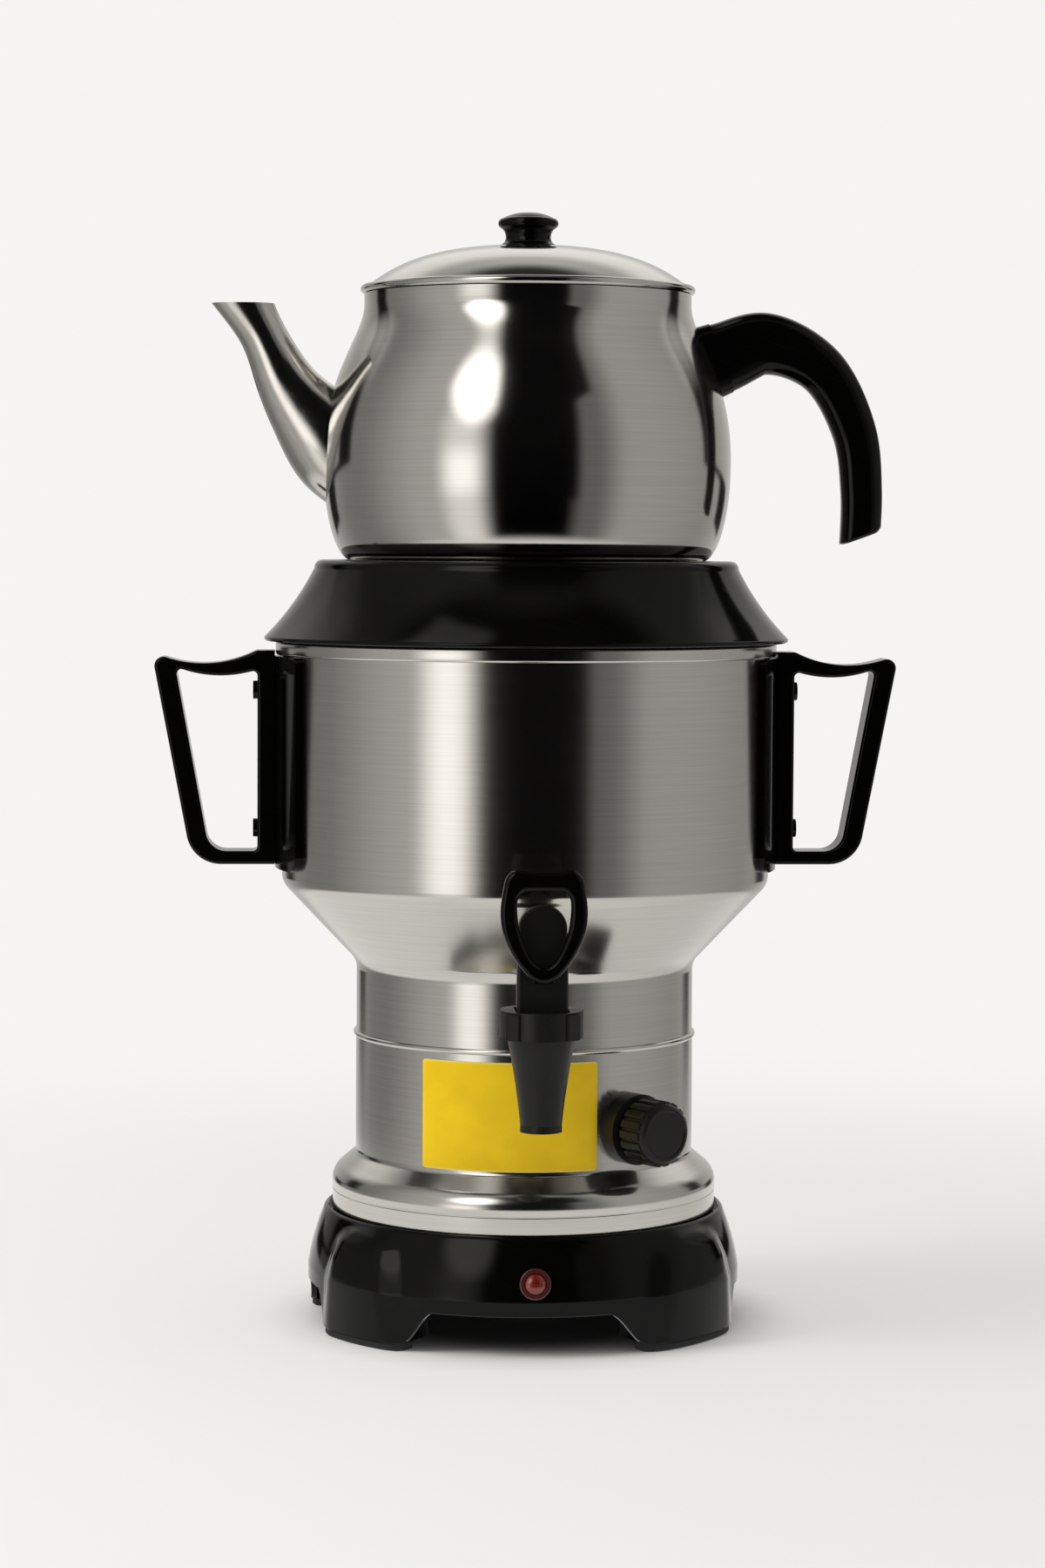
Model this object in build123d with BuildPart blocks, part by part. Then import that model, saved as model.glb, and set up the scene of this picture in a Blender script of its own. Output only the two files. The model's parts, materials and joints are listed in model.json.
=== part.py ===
from build123d import *
import math
import os

# An electric samovar: a steel boiler with a tap stands on a heated base, and a teapot keeps warm
# on the collar that closes the boiler. The teapot, its lid and the collar lift off one by one.
# Frame: the origin lies on the resting plane, on the boiler's axis. +Z is up, the tap faces -Y,
# and the teapot's spout points to -X. All sizes are in millimetres.

os.makedirs("parts", exist_ok=True)

# ---------------------------------------------------------------- driving dimensions
steel = 1.0  # wall of every spun or pressed steel piece
wall = 2.5  # wall of every plastic moulding
lift_gap = 0.3  # air between pieces that lift apart
running_gap = 0.06  # radial play of a turning shaft

# base
pad_height = 3.0
arch_z = 17.6  # underside of the base wall between the feet
ledge_z = 47.2  # ledge that carries the skirt
base_rim_z = 50.0
base_rim_radius = 87.0
belly_radius = 94.5
belly_z = 24.0
foot_azimuths = (49.0, 121.0, 239.0, 311.0)  # measured from the tap, anticlockwise from above
foot_inner_radius = 72.0
floor_z = 20.5  # top of the base's own floor
cover_thickness = 2.5
cover_radius = 68.0

# skirt and boiler
skirt_radius = 73.7
label_bottom_z = 75.2
label_top_z = 121.5
foot_ring_radius = 84.0
seam_z = 124.5
boiler_floor_z = 125.2
neck_radius = 73.5
neck_top_z = 157.4
drum_radius = 106.2
drum_bottom_z = 191.9
drum_top_z = 292.0
rim_radius = 109.0
rim_top_z = 296.3

# collar
collar_bottom_z = rim_top_z + lift_gap
collar_lip_radius = 114.0
collar_top_z = 331.7
collar_top_radius = 89.0
seat_z = 327.7
seat_radius = 81.0
seat_hole_radius = 62.0

# teapot
liner_top_z = seat_z + steel
disc_bottom_z = liner_top_z + lift_gap
pot_bottom_z = 331.6
disc_radius = 68.0
pot_mouth_radius = 70.9
pot_rim_z = 446.4
pot_belly_radius = 88.5

# teapot lid and its knob
lid_bead_radius = 1.75
lid_bead_z = pot_rim_z + 0.35 + lid_bead_radius
lid_bead_centre_radius = 70.8
lid_top_z = 467.5
knob_top_z = 481.8

# tap
tap_y = -126.0
nozzle_tip_z = 101.0
outlet_radius = 6.0
outlet_length = 24.0
shank_z = 133.4
shank_radius = 6.0
shank_bore_radius = 4.0
cup_radius = 13.9
bonnet_bottom_z = 139.6
bonnet_top_z = 150.8
lever_pivot_y = tap_y - 5.0
lever_pivot_z = 148.0
lever_top_z = 193.5
loop_top_z = 208.5

# thermostat knob, on the skirt to the right of the tap
knob_azimuth = 34.5
knob_z = 92.0

# side handles
handle_reach = 161.5
handle_block_x = 109.3
saddle_top_z = 291.0
saddle_bottom_z = 198.5
grip_top_z = 292.4
grip_bottom_z = 199.6


# ---------------------------------------------------------------- helpers
def write(piece, node):
    """Label a finished piece and write its STEP file."""
    piece.part.label = node
    export_step(piece.part, f"parts/{node}.step")


def turned(node, outline):
    """A piece turned about the Z axis from a closed outline of (radius, z) corners."""
    with BuildPart() as piece:
        with BuildSketch(Plane.XZ):
            with BuildLine():
                Polyline(*outline, close=True)
            make_face()
        revolve(axis=Axis.Z)
    write(piece, node)


def radial_plane(azimuth, distance, height):
    """A plane that faces outwards, at an azimuth measured from the tap, anticlockwise from above."""
    angle = math.radians(azimuth)
    outward = (math.sin(angle), -math.cos(angle), 0)
    origin = (distance * outward[0], distance * outward[1], height)
    return Plane(origin=origin, x_dir=(math.cos(angle), math.sin(angle), 0), z_dir=outward)


def polar(azimuth, radius):
    """The X and Y of a point at an azimuth measured from the tap."""
    angle = math.radians(azimuth)
    return (radius * math.sin(angle), -radius * math.cos(angle))


def sector(azimuth, half_angle, inner, outer, corner=0):
    """A sketch between two arcs about the Z axis, with its two outer corners rounded."""
    start, end = azimuth - half_angle, azimuth + half_angle
    with BuildSketch() as face:
        with BuildLine():
            outer_arc = ThreePointArc(polar(start, outer), polar(azimuth, outer), polar(end, outer))
            side = Line(outer_arc @ 1, polar(end, inner))
            inner_arc = ThreePointArc(side @ 1, polar(azimuth, inner), polar(start, inner))
            Line(inner_arc @ 1, outer_arc @ 0)
        make_face()
        if corner:
            outer_corners = face.vertices().sort_by(lambda v: v.X**2 + v.Y**2)[-2:]
            fillet(outer_corners, corner)
    return face.sketch


# ---------------------------------------------------------------- base
def base_wall_outline(inset):
    """The base's outer wall, moved inwards by inset, as an open line from rim to foot."""
    rim = (base_rim_radius - inset, base_rim_z)
    belly = (belly_radius - inset, belly_z)
    middle = ((rim[0] + belly[0]) / 2 + 0.9, (rim[1] + belly[1]) / 2)
    return rim, middle, belly


foot_levels = ((45.4, 88.8, 9.0), (34.0, 95.6, 14.0), (pad_height, 97.4, 20.0))  # z, radius, half angle
inlet_face_y = 96.0
inlet_z = 31.9
lamp_tilt = math.radians(12)
lamp_plane = Plane(
    origin=(0, -92.7, 31.5),
    x_dir=(1, 0, 0),
    z_dir=(0, -math.cos(lamp_tilt), math.sin(lamp_tilt)),
)

with BuildPart() as base_shell:
    # the left half, then mirrored to the right
    with BuildSketch(Plane.YZ):
        with BuildLine():
            rim, middle, belly = base_wall_outline(0)
            outer = ThreePointArc(rim, middle, belly)
            heel = Line(outer @ 1, (belly_radius, pad_height))
            toe = Line(heel @ 1, (belly_radius - wall, pad_height))
            rim, middle, belly = base_wall_outline(wall)
            back = Line(toe @ 1, belly)
            inner = ThreePointArc(back @ 1, middle, rim)
            Line(inner @ 1, outer @ 0)
        make_face()
        with BuildLine():
            Polyline(
                (70, ledge_z - wall),
                (belly_radius - 6.5, ledge_z - wall),
                (belly_radius - 8.3, ledge_z),
                (70, ledge_z),
                close=True,
            )
        make_face()
        with BuildLine():
            Polyline(
                (62, floor_z - wall),
                (belly_radius - 1, floor_z - wall),
                (belly_radius - 1, floor_z),
                (62, floor_z),
                close=True,
            )
        make_face()
    revolve(axis=Axis.Z, revolution_arc=180)
    # arches between the feet: wide ones in front and behind, narrower ones at the sides
    for plane, middle, half_top, half_bottom, lengths in (
        (Plane.XZ, 0, 37, 46, (120,)),
        (Plane.XZ, 0, 51, 61, (-120,)),
        (Plane.YZ, -9, 20, 27.5, (-120,)),
    ):
        with BuildSketch(plane, mode=Mode.PRIVATE) as arch:
            with BuildLine():
                Polyline(
                    (middle - half_bottom, -1),
                    (middle - half_bottom, pad_height),
                    (middle - half_top, arch_z),
                    (middle + half_top, arch_z),
                    (middle + half_bottom, pad_height),
                    (middle + half_bottom, -1),
                    close=True,
                )
            make_face()
            fillet(arch.vertices().group_by(Axis.Y)[-1], 9)
        for length in lengths:
            extrude(arch.sketch, amount=length, mode=Mode.SUBTRACT)
    # hollow feet that swell out of the wall
    for azimuth in foot_azimuths[2:]:
        for level, radius, half_angle in foot_levels:
            with BuildSketch(Plane.XY.offset(level)):
                add(sector(azimuth, half_angle, foot_inner_radius, radius, 5))
        loft()
        for level, radius, half_angle in foot_levels[1:]:
            with BuildSketch(Plane.XY.offset(level - wall if level > wall * 4 else level)):
                add(sector(azimuth, half_angle - 2.2, foot_inner_radius + wall, radius - wall, 3))
        loft(mode=Mode.SUBTRACT)
    mirror(about=Plane.YZ)
    # flat pad for the mains inlet, and its cut-out
    with BuildSketch(Plane.XZ.offset(-inlet_face_y)):
        with Locations((0, inlet_z)):
            RectangleRounded(44, 28, 3)
    extrude(amount=14)
    with BuildSketch(Plane.XZ.offset(-inlet_face_y - 1)):
        with Locations((0, inlet_z)):
            Rectangle(28.4, 20.9)
    extrude(amount=30, mode=Mode.SUBTRACT)
    # hole for the pilot lamp
    with BuildSketch(lamp_plane.offset(8)):
        Circle(5.2)
    extrude(amount=-20, mode=Mode.SUBTRACT)
    # pilot holes for the cover screws
    with Locations(Plane.XY.offset(floor_z)):
        with PolarLocations(65.2, 4, start_angle=45):
            Hole(1.2, depth=wall)
write(base_shell, "base_shell")

with BuildPart() as foot_pads:
    for azimuth in foot_azimuths:
        with BuildSketch():
            add(sector(azimuth, 19.0, foot_inner_radius + 1, 96.0, 4.5))
        extrude(amount=pad_height)
        with BuildSketch(Plane.XY.offset(pad_height)):
            add(sector(azimuth, 16.5, foot_inner_radius + 4, 93.5, 2.5))
        extrude(amount=4)
write(foot_pads, "foot_pads")

cover_z = floor_z - wall - cover_thickness
with BuildPart() as base_cover:
    with BuildSketch(Plane.XY.offset(cover_z)):
        Circle(cover_radius)
        with PolarLocations(65.2, 4, start_angle=45):
            Circle(1.7, mode=Mode.SUBTRACT)
        Circle(3.2, mode=Mode.SUBTRACT)
        with PolarLocations(38, 12):
            SlotOverall(16, 3, mode=Mode.SUBTRACT)
    extrude(amount=cover_thickness)
write(base_cover, "base_cover")

with BuildPart() as cover_screws:
    with Locations(Plane.XY.offset(cover_z - 2)):
        with PolarLocations(65.2, 4, start_angle=45):
            Cylinder(3, 2, align=(Align.CENTER, Align.CENTER, Align.MIN))
            Cylinder(1.15, 8, align=(Align.CENTER, Align.CENTER, Align.MIN))
write(cover_screws, "cover_screws")

# ---------------------------------------------------------------- pilot lamp
with BuildPart() as lamp_bezel:
    with BuildSketch(lamp_plane.offset(0.4)):
        Circle(6.6)
        Circle(4.6, mode=Mode.SUBTRACT)
    extrude(amount=1.6)
    fillet(lamp_bezel.edges().filter_by(GeomType.CIRCLE).sort_by(Axis.Y)[0:1], 0.6)
    with BuildSketch(lamp_plane.offset(0.4)):
        Circle(5.1)
        Circle(4.6, mode=Mode.SUBTRACT)
    extrude(amount=-9)
write(lamp_bezel, "lamp_bezel")

with BuildPart() as lamp_lens:
    with BuildSketch(lamp_plane.offset(0.4)):
        Circle(4.5)
    extrude(amount=1.2)
    with BuildSketch(lamp_plane.offset(1.6)):
        Circle(4.5)
    extrude(amount=1.3, taper=38)
write(lamp_lens, "lamp_lens")

with BuildPart() as lamp_neon:
    with BuildSketch(lamp_plane.offset(0.2)):
        Circle(4.4)
    extrude(amount=-14)
write(lamp_neon, "lamp_neon")

# ---------------------------------------------------------------- mains inlet
with BuildPart() as mains_inlet:
    with BuildSketch(Plane.XZ.offset(-inlet_face_y - 2)):
        with Locations((0, inlet_z)):
            RectangleRounded(33, 25, 2)
    extrude(amount=2)
    with BuildSketch(Plane.XZ.offset(-inlet_face_y)):
        with Locations((0, inlet_z)):
            Rectangle(28, 20.5)
    extrude(amount=22)
    with BuildSketch(Plane.XZ.offset(-inlet_face_y - 2)) as socket:
        with Locations((0, inlet_z)):
            Rectangle(24.5, 16.8)
        chamfer(socket.vertices().group_by(Axis.Y)[0], 4)
    extrude(amount=18, mode=Mode.SUBTRACT)
write(mains_inlet, "mains_inlet")

with BuildPart() as inlet_pins:
    for x, z in ((-7, -1), (0, 3), (7, -1)):
        with BuildSketch(Plane.XZ.offset(-inlet_face_y + 1)):
            with Locations((x, inlet_z + z)):
                Rectangle(2, 4)
        extrude(amount=15)
write(inlet_pins, "inlet_pins")

# ---------------------------------------------------------------- skirt and boiler
with BuildPart() as skirt:
    with BuildSketch(Plane.XZ):
        with BuildLine():
            neck = Line((skirt_radius, seam_z), (skirt_radius, 75.2))
            cove = ThreePointArc(neck @ 1, (73.98, 73.93), (74.77, 72.9))
            slope = Line(cove @ 1, (80.6, 68.0))
            shoulder = ThreePointArc(slope @ 1, (83.11, 64.72), (foot_ring_radius, 60.7))
            band = Line(shoulder @ 1, (foot_ring_radius, ledge_z))
            edge = Line(band @ 1, (foot_ring_radius - steel, ledge_z))
            back = Line(edge @ 1, (foot_ring_radius - steel, 60.7))
            inner_shoulder = ThreePointArc(back @ 1, (82.2, 64.3), (79.96, 67.23))
            inner_slope = Line(inner_shoulder @ 1, (74.13, 72.14))
            inner_cove = ThreePointArc(inner_slope @ 1, (73.07, 73.51), (skirt_radius - steel, 75.2))
            inner_neck = Line(inner_cove @ 1, (skirt_radius - steel, seam_z))
            Line(inner_neck @ 1, neck @ 0)
        make_face()
    revolve(axis=Axis.Z)
    with BuildSketch(radial_plane(knob_azimuth, 85, knob_z)):
        Circle(5.2)
    extrude(amount=-20, mode=Mode.SUBTRACT)
write(skirt, "skirt")

turned(
    "seam_band",
    [
        (neck_radius - steel, seam_z),
        (neck_radius + 0.6, seam_z),
        (neck_radius + 1.3, seam_z + 0.7),
        (neck_radius + 1.3, seam_z + 1.7),
        (neck_radius + 0.6, seam_z + 2.4),
        (neck_radius, seam_z + 2.4),
        (neck_radius, seam_z + 0.7),
        (neck_radius - steel, seam_z + 0.7),
    ],
)

with BuildPart() as boiler:
    with BuildSketch(Plane.XZ):
        with BuildLine():
            outer = FilletPolyline(
                (neck_radius, seam_z + 0.7),
                (neck_radius, neck_top_z),
                (drum_radius, drum_bottom_z),
                (drum_radius, drum_top_z),
                radius=9,
            )
            top = Line(outer @ 1, (drum_radius - steel, drum_top_z))
            cone_shift = steel * 0.42  # the cone's inner face keeps the wall's thickness
            inner = FilletPolyline(
                top @ 1,
                (drum_radius - steel, drum_bottom_z + cone_shift),
                (neck_radius - steel, neck_top_z + cone_shift),
                (neck_radius - steel, seam_z + 0.7),
                radius=9,
            )
            Line(inner @ 1, outer @ 0)
        make_face()
    revolve(axis=Axis.Z)
    with BuildSketch(Plane.XZ.offset(60)):
        with Locations((0, shank_z)):
            Circle(shank_radius + 0.1)
    extrude(amount=20, mode=Mode.SUBTRACT)
    for side in (0, 180):
        for height in (215, 275):
            with BuildSketch(radial_plane(90 + side, 112, height)):
                Circle(2.1)
            extrude(amount=-12, mode=Mode.SUBTRACT)
write(boiler, "boiler")

with BuildPart() as boiler_floor:
    with BuildSketch(Plane.XZ):
        with BuildLine():
            Polyline(
                (0, boiler_floor_z),
                (neck_radius - steel - 0.05, boiler_floor_z),
                (neck_radius - steel - 0.05, boiler_floor_z - 13),
                (neck_radius - 2 * steel, boiler_floor_z - 13),
                (neck_radius - 2 * steel, boiler_floor_z - steel),
                (0, boiler_floor_z - steel),
                close=True,
            )
        make_face()
    revolve(axis=Axis.Z)
    with Locations((-14, 45, boiler_floor_z), (14, 45, boiler_floor_z)):
        Hole(3.8, depth=steel)
write(boiler_floor, "boiler_floor")

with BuildPart() as boiler_rim:
    with BuildSketch(Plane.XZ) as rim_profile:
        with BuildLine():
            Polyline(
                (drum_radius, drum_top_z - 1.6),
                (rim_radius, drum_top_z - 1.6),
                (rim_radius, rim_top_z),
                (drum_radius - steel, rim_top_z),
                (drum_radius - steel, drum_top_z),
                (drum_radius, drum_top_z),
                close=True,
            )
        make_face()
        fillet(rim_profile.vertices().group_by(Axis.X)[-1], 1.2)
    revolve(axis=Axis.Z)
write(boiler_rim, "boiler_rim")

with BuildPart() as tie_rod:
    with BuildSketch(Plane.XY.offset(cover_z - 5)):
        Circle(3)
    extrude(amount=boiler_floor_z - steel - cover_z + 5)
write(tie_rod, "tie_rod")

with BuildPart() as tie_nut:
    with BuildSketch(Plane.XY.offset(cover_z - 5)):
        RegularPolygon(5.8, 6)
        Circle(3.05, mode=Mode.SUBTRACT)
    extrude(amount=5)
write(tie_nut, "tie_nut")

# ---------------------------------------------------------------- heating element
element_z = boiler_floor_z + 12
element_end_z = boiler_floor_z - 18
element_legs = ((-14, 45), (14, 45))
element_loop = ((-50, 30), (-45, -35), (45, -35), (50, 30))
with BuildPart() as heating_element:
    with BuildLine() as element_path:
        FilletPolyline(
            (*element_legs[0], element_end_z),
            (*element_legs[0], element_z),
            *[(x, y, element_z) for x, y in element_loop],
            (*element_legs[1], element_z),
            (*element_legs[1], element_end_z),
            radius=(8, 20, 24, 24, 20, 8),
        )
    with BuildSketch(Plane.XY.offset(element_end_z)):
        with Locations(element_legs[0]):
            Circle(3.6)
    sweep(path=element_path.line)
    with Locations(*[(x, y, element_end_z) for x, y in element_legs]):
        Cylinder(1.6, 8, align=(Align.CENTER, Align.CENTER, Align.MAX))
write(heating_element, "heating_element")

with BuildPart() as element_seals:
    with BuildSketch(Plane.XY.offset(boiler_floor_z - steel - 1.5)):
        with Locations(*element_legs):
            Circle(8)
            Circle(3.65, mode=Mode.SUBTRACT)
    extrude(amount=1.5)
write(element_seals, "element_seals")

with BuildPart() as element_nuts:
    for leg in element_legs:
        with BuildSketch(Plane.XY.offset(boiler_floor_z - steel - 7.5)):
            with Locations(leg):
                RegularPolygon(8.5, 6)
                Circle(3.65, mode=Mode.SUBTRACT)
        extrude(amount=6)
write(element_nuts, "element_nuts")

with BuildPart() as thermal_cutout:
    with Locations((-28, -18, boiler_floor_z - steel)):
        Cylinder(9, 7, align=(Align.CENTER, Align.CENTER, Align.MAX))
    with Locations((-28, -18, boiler_floor_z - steel - 7)):
        Box(22, 8, 2, align=(Align.CENTER, Align.CENTER, Align.MAX))
        with Locations((-9, 0, -2), (9, 0, -2)):
            Box(1, 6, 7, align=(Align.CENTER, Align.CENTER, Align.MAX))
write(thermal_cutout, "thermal_cutout")

with BuildPart() as terminal_block:
    with Locations((0, 34, floor_z - wall)):
        Box(34, 16, 14, align=(Align.CENTER, Align.CENTER, Align.MIN))
        with Locations(*[(x, 0, 14) for x in (-11, 0, 11)]):
            Cylinder(2.6, 2, align=(Align.CENTER, Align.CENTER, Align.MIN))
write(terminal_block, "terminal_block")

# ---------------------------------------------------------------- thermostat and its knob
bezel_outer = 80.5  # distance of the bezel's face from the boiler's axis
knob_back = 83.0
knob_face = 98.0
shaft_radius = 3.0
with BuildPart() as thermostat:
    with BuildSketch(radial_plane(knob_azimuth, 67, knob_z)):
        RectangleRounded(34, 30, 3)
    extrude(amount=-22)
    with BuildSketch(radial_plane(knob_azimuth, 67, knob_z)):
        Circle(5.0)
    extrude(amount=11.5)
    with BuildSketch(radial_plane(knob_azimuth, 79, knob_z)):
        Circle(shaft_radius + running_gap)
    extrude(amount=-26, mode=Mode.SUBTRACT)
write(thermostat, "thermostat")

with BuildPart() as knob_bezel:
    with BuildSketch(radial_plane(knob_azimuth, 70, knob_z)):
        Circle(15)
        Circle(5.1, mode=Mode.SUBTRACT)
    extrude(amount=bezel_outer - 70)
    with BuildSketch(radial_plane(knob_azimuth, bezel_outer, knob_z)):
        Circle(12)
        Circle(8.5, mode=Mode.SUBTRACT)
    extrude(amount=-2.2, mode=Mode.SUBTRACT)
    with Locations((0, 0, knob_z)):
        Cylinder(skirt_radius + 0.1, 60, mode=Mode.SUBTRACT)
write(knob_bezel, "knob_bezel")

with BuildPart() as thermostat_knob:
    with BuildSketch(radial_plane(knob_azimuth, knob_back, knob_z)):
        Circle(13.9)
        with PolarLocations(14.4, 14):
            Circle(1.3, mode=Mode.SUBTRACT)
    extrude(amount=knob_face - knob_back - 3.5)
    with BuildSketch(radial_plane(knob_azimuth, knob_face - 3.5, knob_z)):
        Circle(13.2)
    extrude(amount=3.5, taper=12)
    with BuildSketch(radial_plane(knob_azimuth, knob_back, knob_z)):
        Circle(shaft_radius + 0.02)
    extrude(amount=10, mode=Mode.SUBTRACT)
write(thermostat_knob, "thermostat_knob")

with BuildPart() as thermostat_shaft:
    with BuildSketch(radial_plane(knob_azimuth, 56, knob_z)):
        Circle(shaft_radius)
    extrude(amount=36.5)
write(thermostat_shaft, "thermostat_shaft")

# ---------------------------------------------------------------- wiring inside the base and skirt
wire_radius = 1.2
thermostat_inner = polar(knob_azimuth, 42)
wire_routes = (
    # inlet to terminal block
    [(6, 73.5, 31), (6, 64, 31), (6, 56, 28), (6, 50, 26), (6, 43, 25)],
    # terminal block to thermostat
    [
        (14, 25, 26),
        (16, 18, 30),
        (18, 10, 45),
        (thermostat_inner[0] - 4, -14, 74),
        (thermostat_inner[0] - 1, -26, 84),
        (thermostat_inner[0] + 0.8, thermostat_inner[1] + 0.8, 92),
    ],
    # terminal block to heating element
    [(-11, 34.5, 35.5), (-12, 36, 46), (-15, 41, 62), (-15, 46, 82), (-14, 45, 98)],
    # terminal block to pilot lamp
    [
        (-18, 28, 28),
        (-26, 22, 29),
        (-30, 4, 30),
        (-26, -30, 30),
        (-14, -56, 30.5),
        (-4, -70, 29.5),
        (0, -77.6, 28.6),
    ],
)


def wire_radii(route):
    """The bend radius at each corner of a route: 0.45 of its shorter run over tan of half the turn."""
    radii = []
    for before, corner, after in zip(route, route[1:], route[2:]):
        run_in = Vector(*corner) - Vector(*before)
        run_out = Vector(*after) - Vector(*corner)
        half_turn = math.radians(run_in.get_angle(run_out)) / 2
        radii.append(0.45 * min(run_in.length, run_out.length) / math.tan(half_turn))
    return radii


with BuildPart() as wiring:
    for route in wire_routes:
        with BuildLine() as path:
            FilletPolyline(*route, radius=wire_radii(route))
        with BuildSketch(Plane(origin=path.line @ 0, z_dir=path.line % 0)):
            Circle(wire_radius)
        sweep(path=path.line)
write(wiring, "internal_wiring")

# ---------------------------------------------------------------- side label
with BuildPart() as side_label:
    with BuildSketch(Plane.XY.offset(label_bottom_z)):
        add(sector(-8.5, 30, skirt_radius + 0.05, skirt_radius + 0.4))
    extrude(amount=label_top_z - label_bottom_z)
write(side_label, "side_label")

# ---------------------------------------------------------------- side handles
handle_sides = {"left": -1, "right": 1}
for name, side in handle_sides.items():
    azimuth = 90 * side
    with BuildPart() as saddle:
        with BuildSketch(Plane.XY.offset(saddle_bottom_z)):
            add(sector(azimuth, 23.5, drum_radius + 0.1, handle_block_x))
        extrude(amount=saddle_top_z - saddle_bottom_z - 1)
        for end, radius in ((0, 8), (-1, 3)):
            corner_edges = saddle.edges().filter_by(GeomType.LINE).filter_by(Axis.Z, reverse=True)
            fillet(corner_edges.group_by(Axis.Z)[end], radius)
        for slot_angle in (-15.5, 15.5):
            with BuildSketch(radial_plane(azimuth + slot_angle, 115, 246)):
                SlotOverall(73, 6.5, rotation=90)
            extrude(amount=-14, mode=Mode.SUBTRACT)
        for height in (215, 275):
            with BuildSketch(radial_plane(azimuth, 115, height)):
                Circle(2.1)
            extrude(amount=-14, mode=Mode.SUBTRACT)
    write(saddle, f"{name}_handle_saddle")

    with BuildPart() as grip:
        with BuildSketch(Plane.XZ) as outline:
            with BuildLine():
                back = Line((handle_block_x, grip_bottom_z), (handle_block_x, grip_top_z))
                shelf = Line(back @ 1, (117.2, grip_top_z))
                brow = ThreePointArc(shelf @ 1, (137, grip_top_z - 5.5), (162.6, grip_top_z - 0.4))
                bar = Line(brow @ 1, (145.0, grip_bottom_z))
                Line(bar @ 1, back @ 0)
            make_face()
            for corner, radius in ((bar @ 0, 4), (bar @ 1, 15), (shelf @ 1, 3)):
                fillet(outline.vertices().sort_by_distance(corner)[0], radius)
            with BuildSketch(mode=Mode.SUBTRACT) as window:
                with BuildLine():
                    post = Line((116.8, grip_bottom_z + 5.8), (116.8, grip_top_z - 8.4))
                    lintel = ThreePointArc(post @ 1, (134, grip_top_z - 11), (152.2, grip_top_z - 7.2))
                    inner_bar = Line(lintel @ 1, (137.6, grip_bottom_z + 5.8))
                    Line(inner_bar @ 1, post @ 0)
                make_face()
                for corner, radius in ((inner_bar @ 1, 9), (post @ 0, 2), (post @ 1, 2), (lintel @ 1, 2)):
                    fillet(window.vertices().sort_by_distance(corner)[0], radius)
        extrude(amount=9.5, both=True)
        rounded_edges = grip.edges().filter_by(
            lambda e: abs(e.center().Y) > 9.4 and e.center().X > handle_block_x + 0.5
        )
        fillet(rounded_edges, 1.5)
        if side < 0:
            mirrored = mirror(grip.part, about=Plane.YZ, mode=Mode.PRIVATE)
            add(mirrored, mode=Mode.REPLACE)
        for height in (215, 275):
            with BuildSketch(radial_plane(azimuth, 122, height)):
                Circle(2.1)
            extrude(amount=-20, mode=Mode.SUBTRACT)
    write(grip, f"{name}_handle_grip")

    with BuildPart() as handle_screws:
        for height in (215, 275):
            with BuildSketch(radial_plane(azimuth, 116.8, height)):
                Circle(4)
            extrude(amount=2)
            with BuildSketch(radial_plane(azimuth, 116.8, height)):
                Circle(2)
            extrude(amount=-14.5)
            with BuildSketch(radial_plane(azimuth, 105, height)):
                RegularPolygon(4.2, 6)
            extrude(amount=-3)
    write(handle_screws, f"{name}_handle_screws")

# ---------------------------------------------------------------- tap
tap_plane = Plane(origin=(0, tap_y, 0), x_dir=(1, 0, 0), z_dir=(0, -1, 0))
tap_axis = Axis((0, tap_y, 0), (0, 0, 1))
flange_distance = neck_radius + 2.6  # from the boiler's axis to the back of the tap's flange
with BuildPart() as tap_body:
    with BuildSketch(tap_plane):
        with BuildLine():
            Polyline((outlet_radius, nozzle_tip_z), (8.6, nozzle_tip_z))
            lip = Line((8.6, nozzle_tip_z), (8.5, nozzle_tip_z + 3))
            taper = ThreePointArc(lip @ 1, (10.5, 120), (cup_radius, bonnet_bottom_z - 0.5))
            Polyline(
                taper @ 1,
                (cup_radius, 143),
                (10, 143),
                (10, 129),
                (8, 126.8),
                (outlet_radius, nozzle_tip_z + outlet_length),
                (outlet_radius, nozzle_tip_z),
            )
        make_face()
    revolve(axis=tap_axis)
    with BuildSketch(Plane.XZ.offset(-tap_y - 11)):
        with Locations((0, shank_z)):
            Circle(shank_radius)
    extrude(amount=-(-tap_y - 11 - 60))
    with BuildSketch(Plane.XZ.offset(flange_distance)):
        with Locations((0, shank_z)):
            Circle(11)
    extrude(amount=3)
    with BuildSketch(Plane.XZ.offset(-tap_y)):
        with Locations((0, shank_z)):
            Circle(shank_bore_radius)
    extrude(amount=-(-tap_y - 50), mode=Mode.SUBTRACT)
write(tap_body, "tap_body")

with BuildPart() as tap_seal:
    with BuildSketch(Plane.XZ.offset(flange_distance)):
        with Locations((0, shank_z)):
            Circle(10.5)
            Circle(shank_radius + 0.05, mode=Mode.SUBTRACT)
    extrude(amount=-8)
    with Locations((0, 0, shank_z)):
        Cylinder(neck_radius + 1.4, 60, mode=Mode.SUBTRACT)
write(tap_seal, "tap_seal")

with BuildPart() as tap_nut:
    with BuildSketch(Plane.XZ.offset(neck_radius - 10)):
        with Locations((0, shank_z)):
            RegularPolygon(7.8, 6)
            Circle(shank_radius + 0.05, mode=Mode.SUBTRACT)
    extrude(amount=12)
    with Locations((0, 0, shank_z)):
        Cylinder(neck_radius - steel - 0.05, 60, mode=Mode.INTERSECT)
write(tap_nut, "tap_nut")

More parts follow.
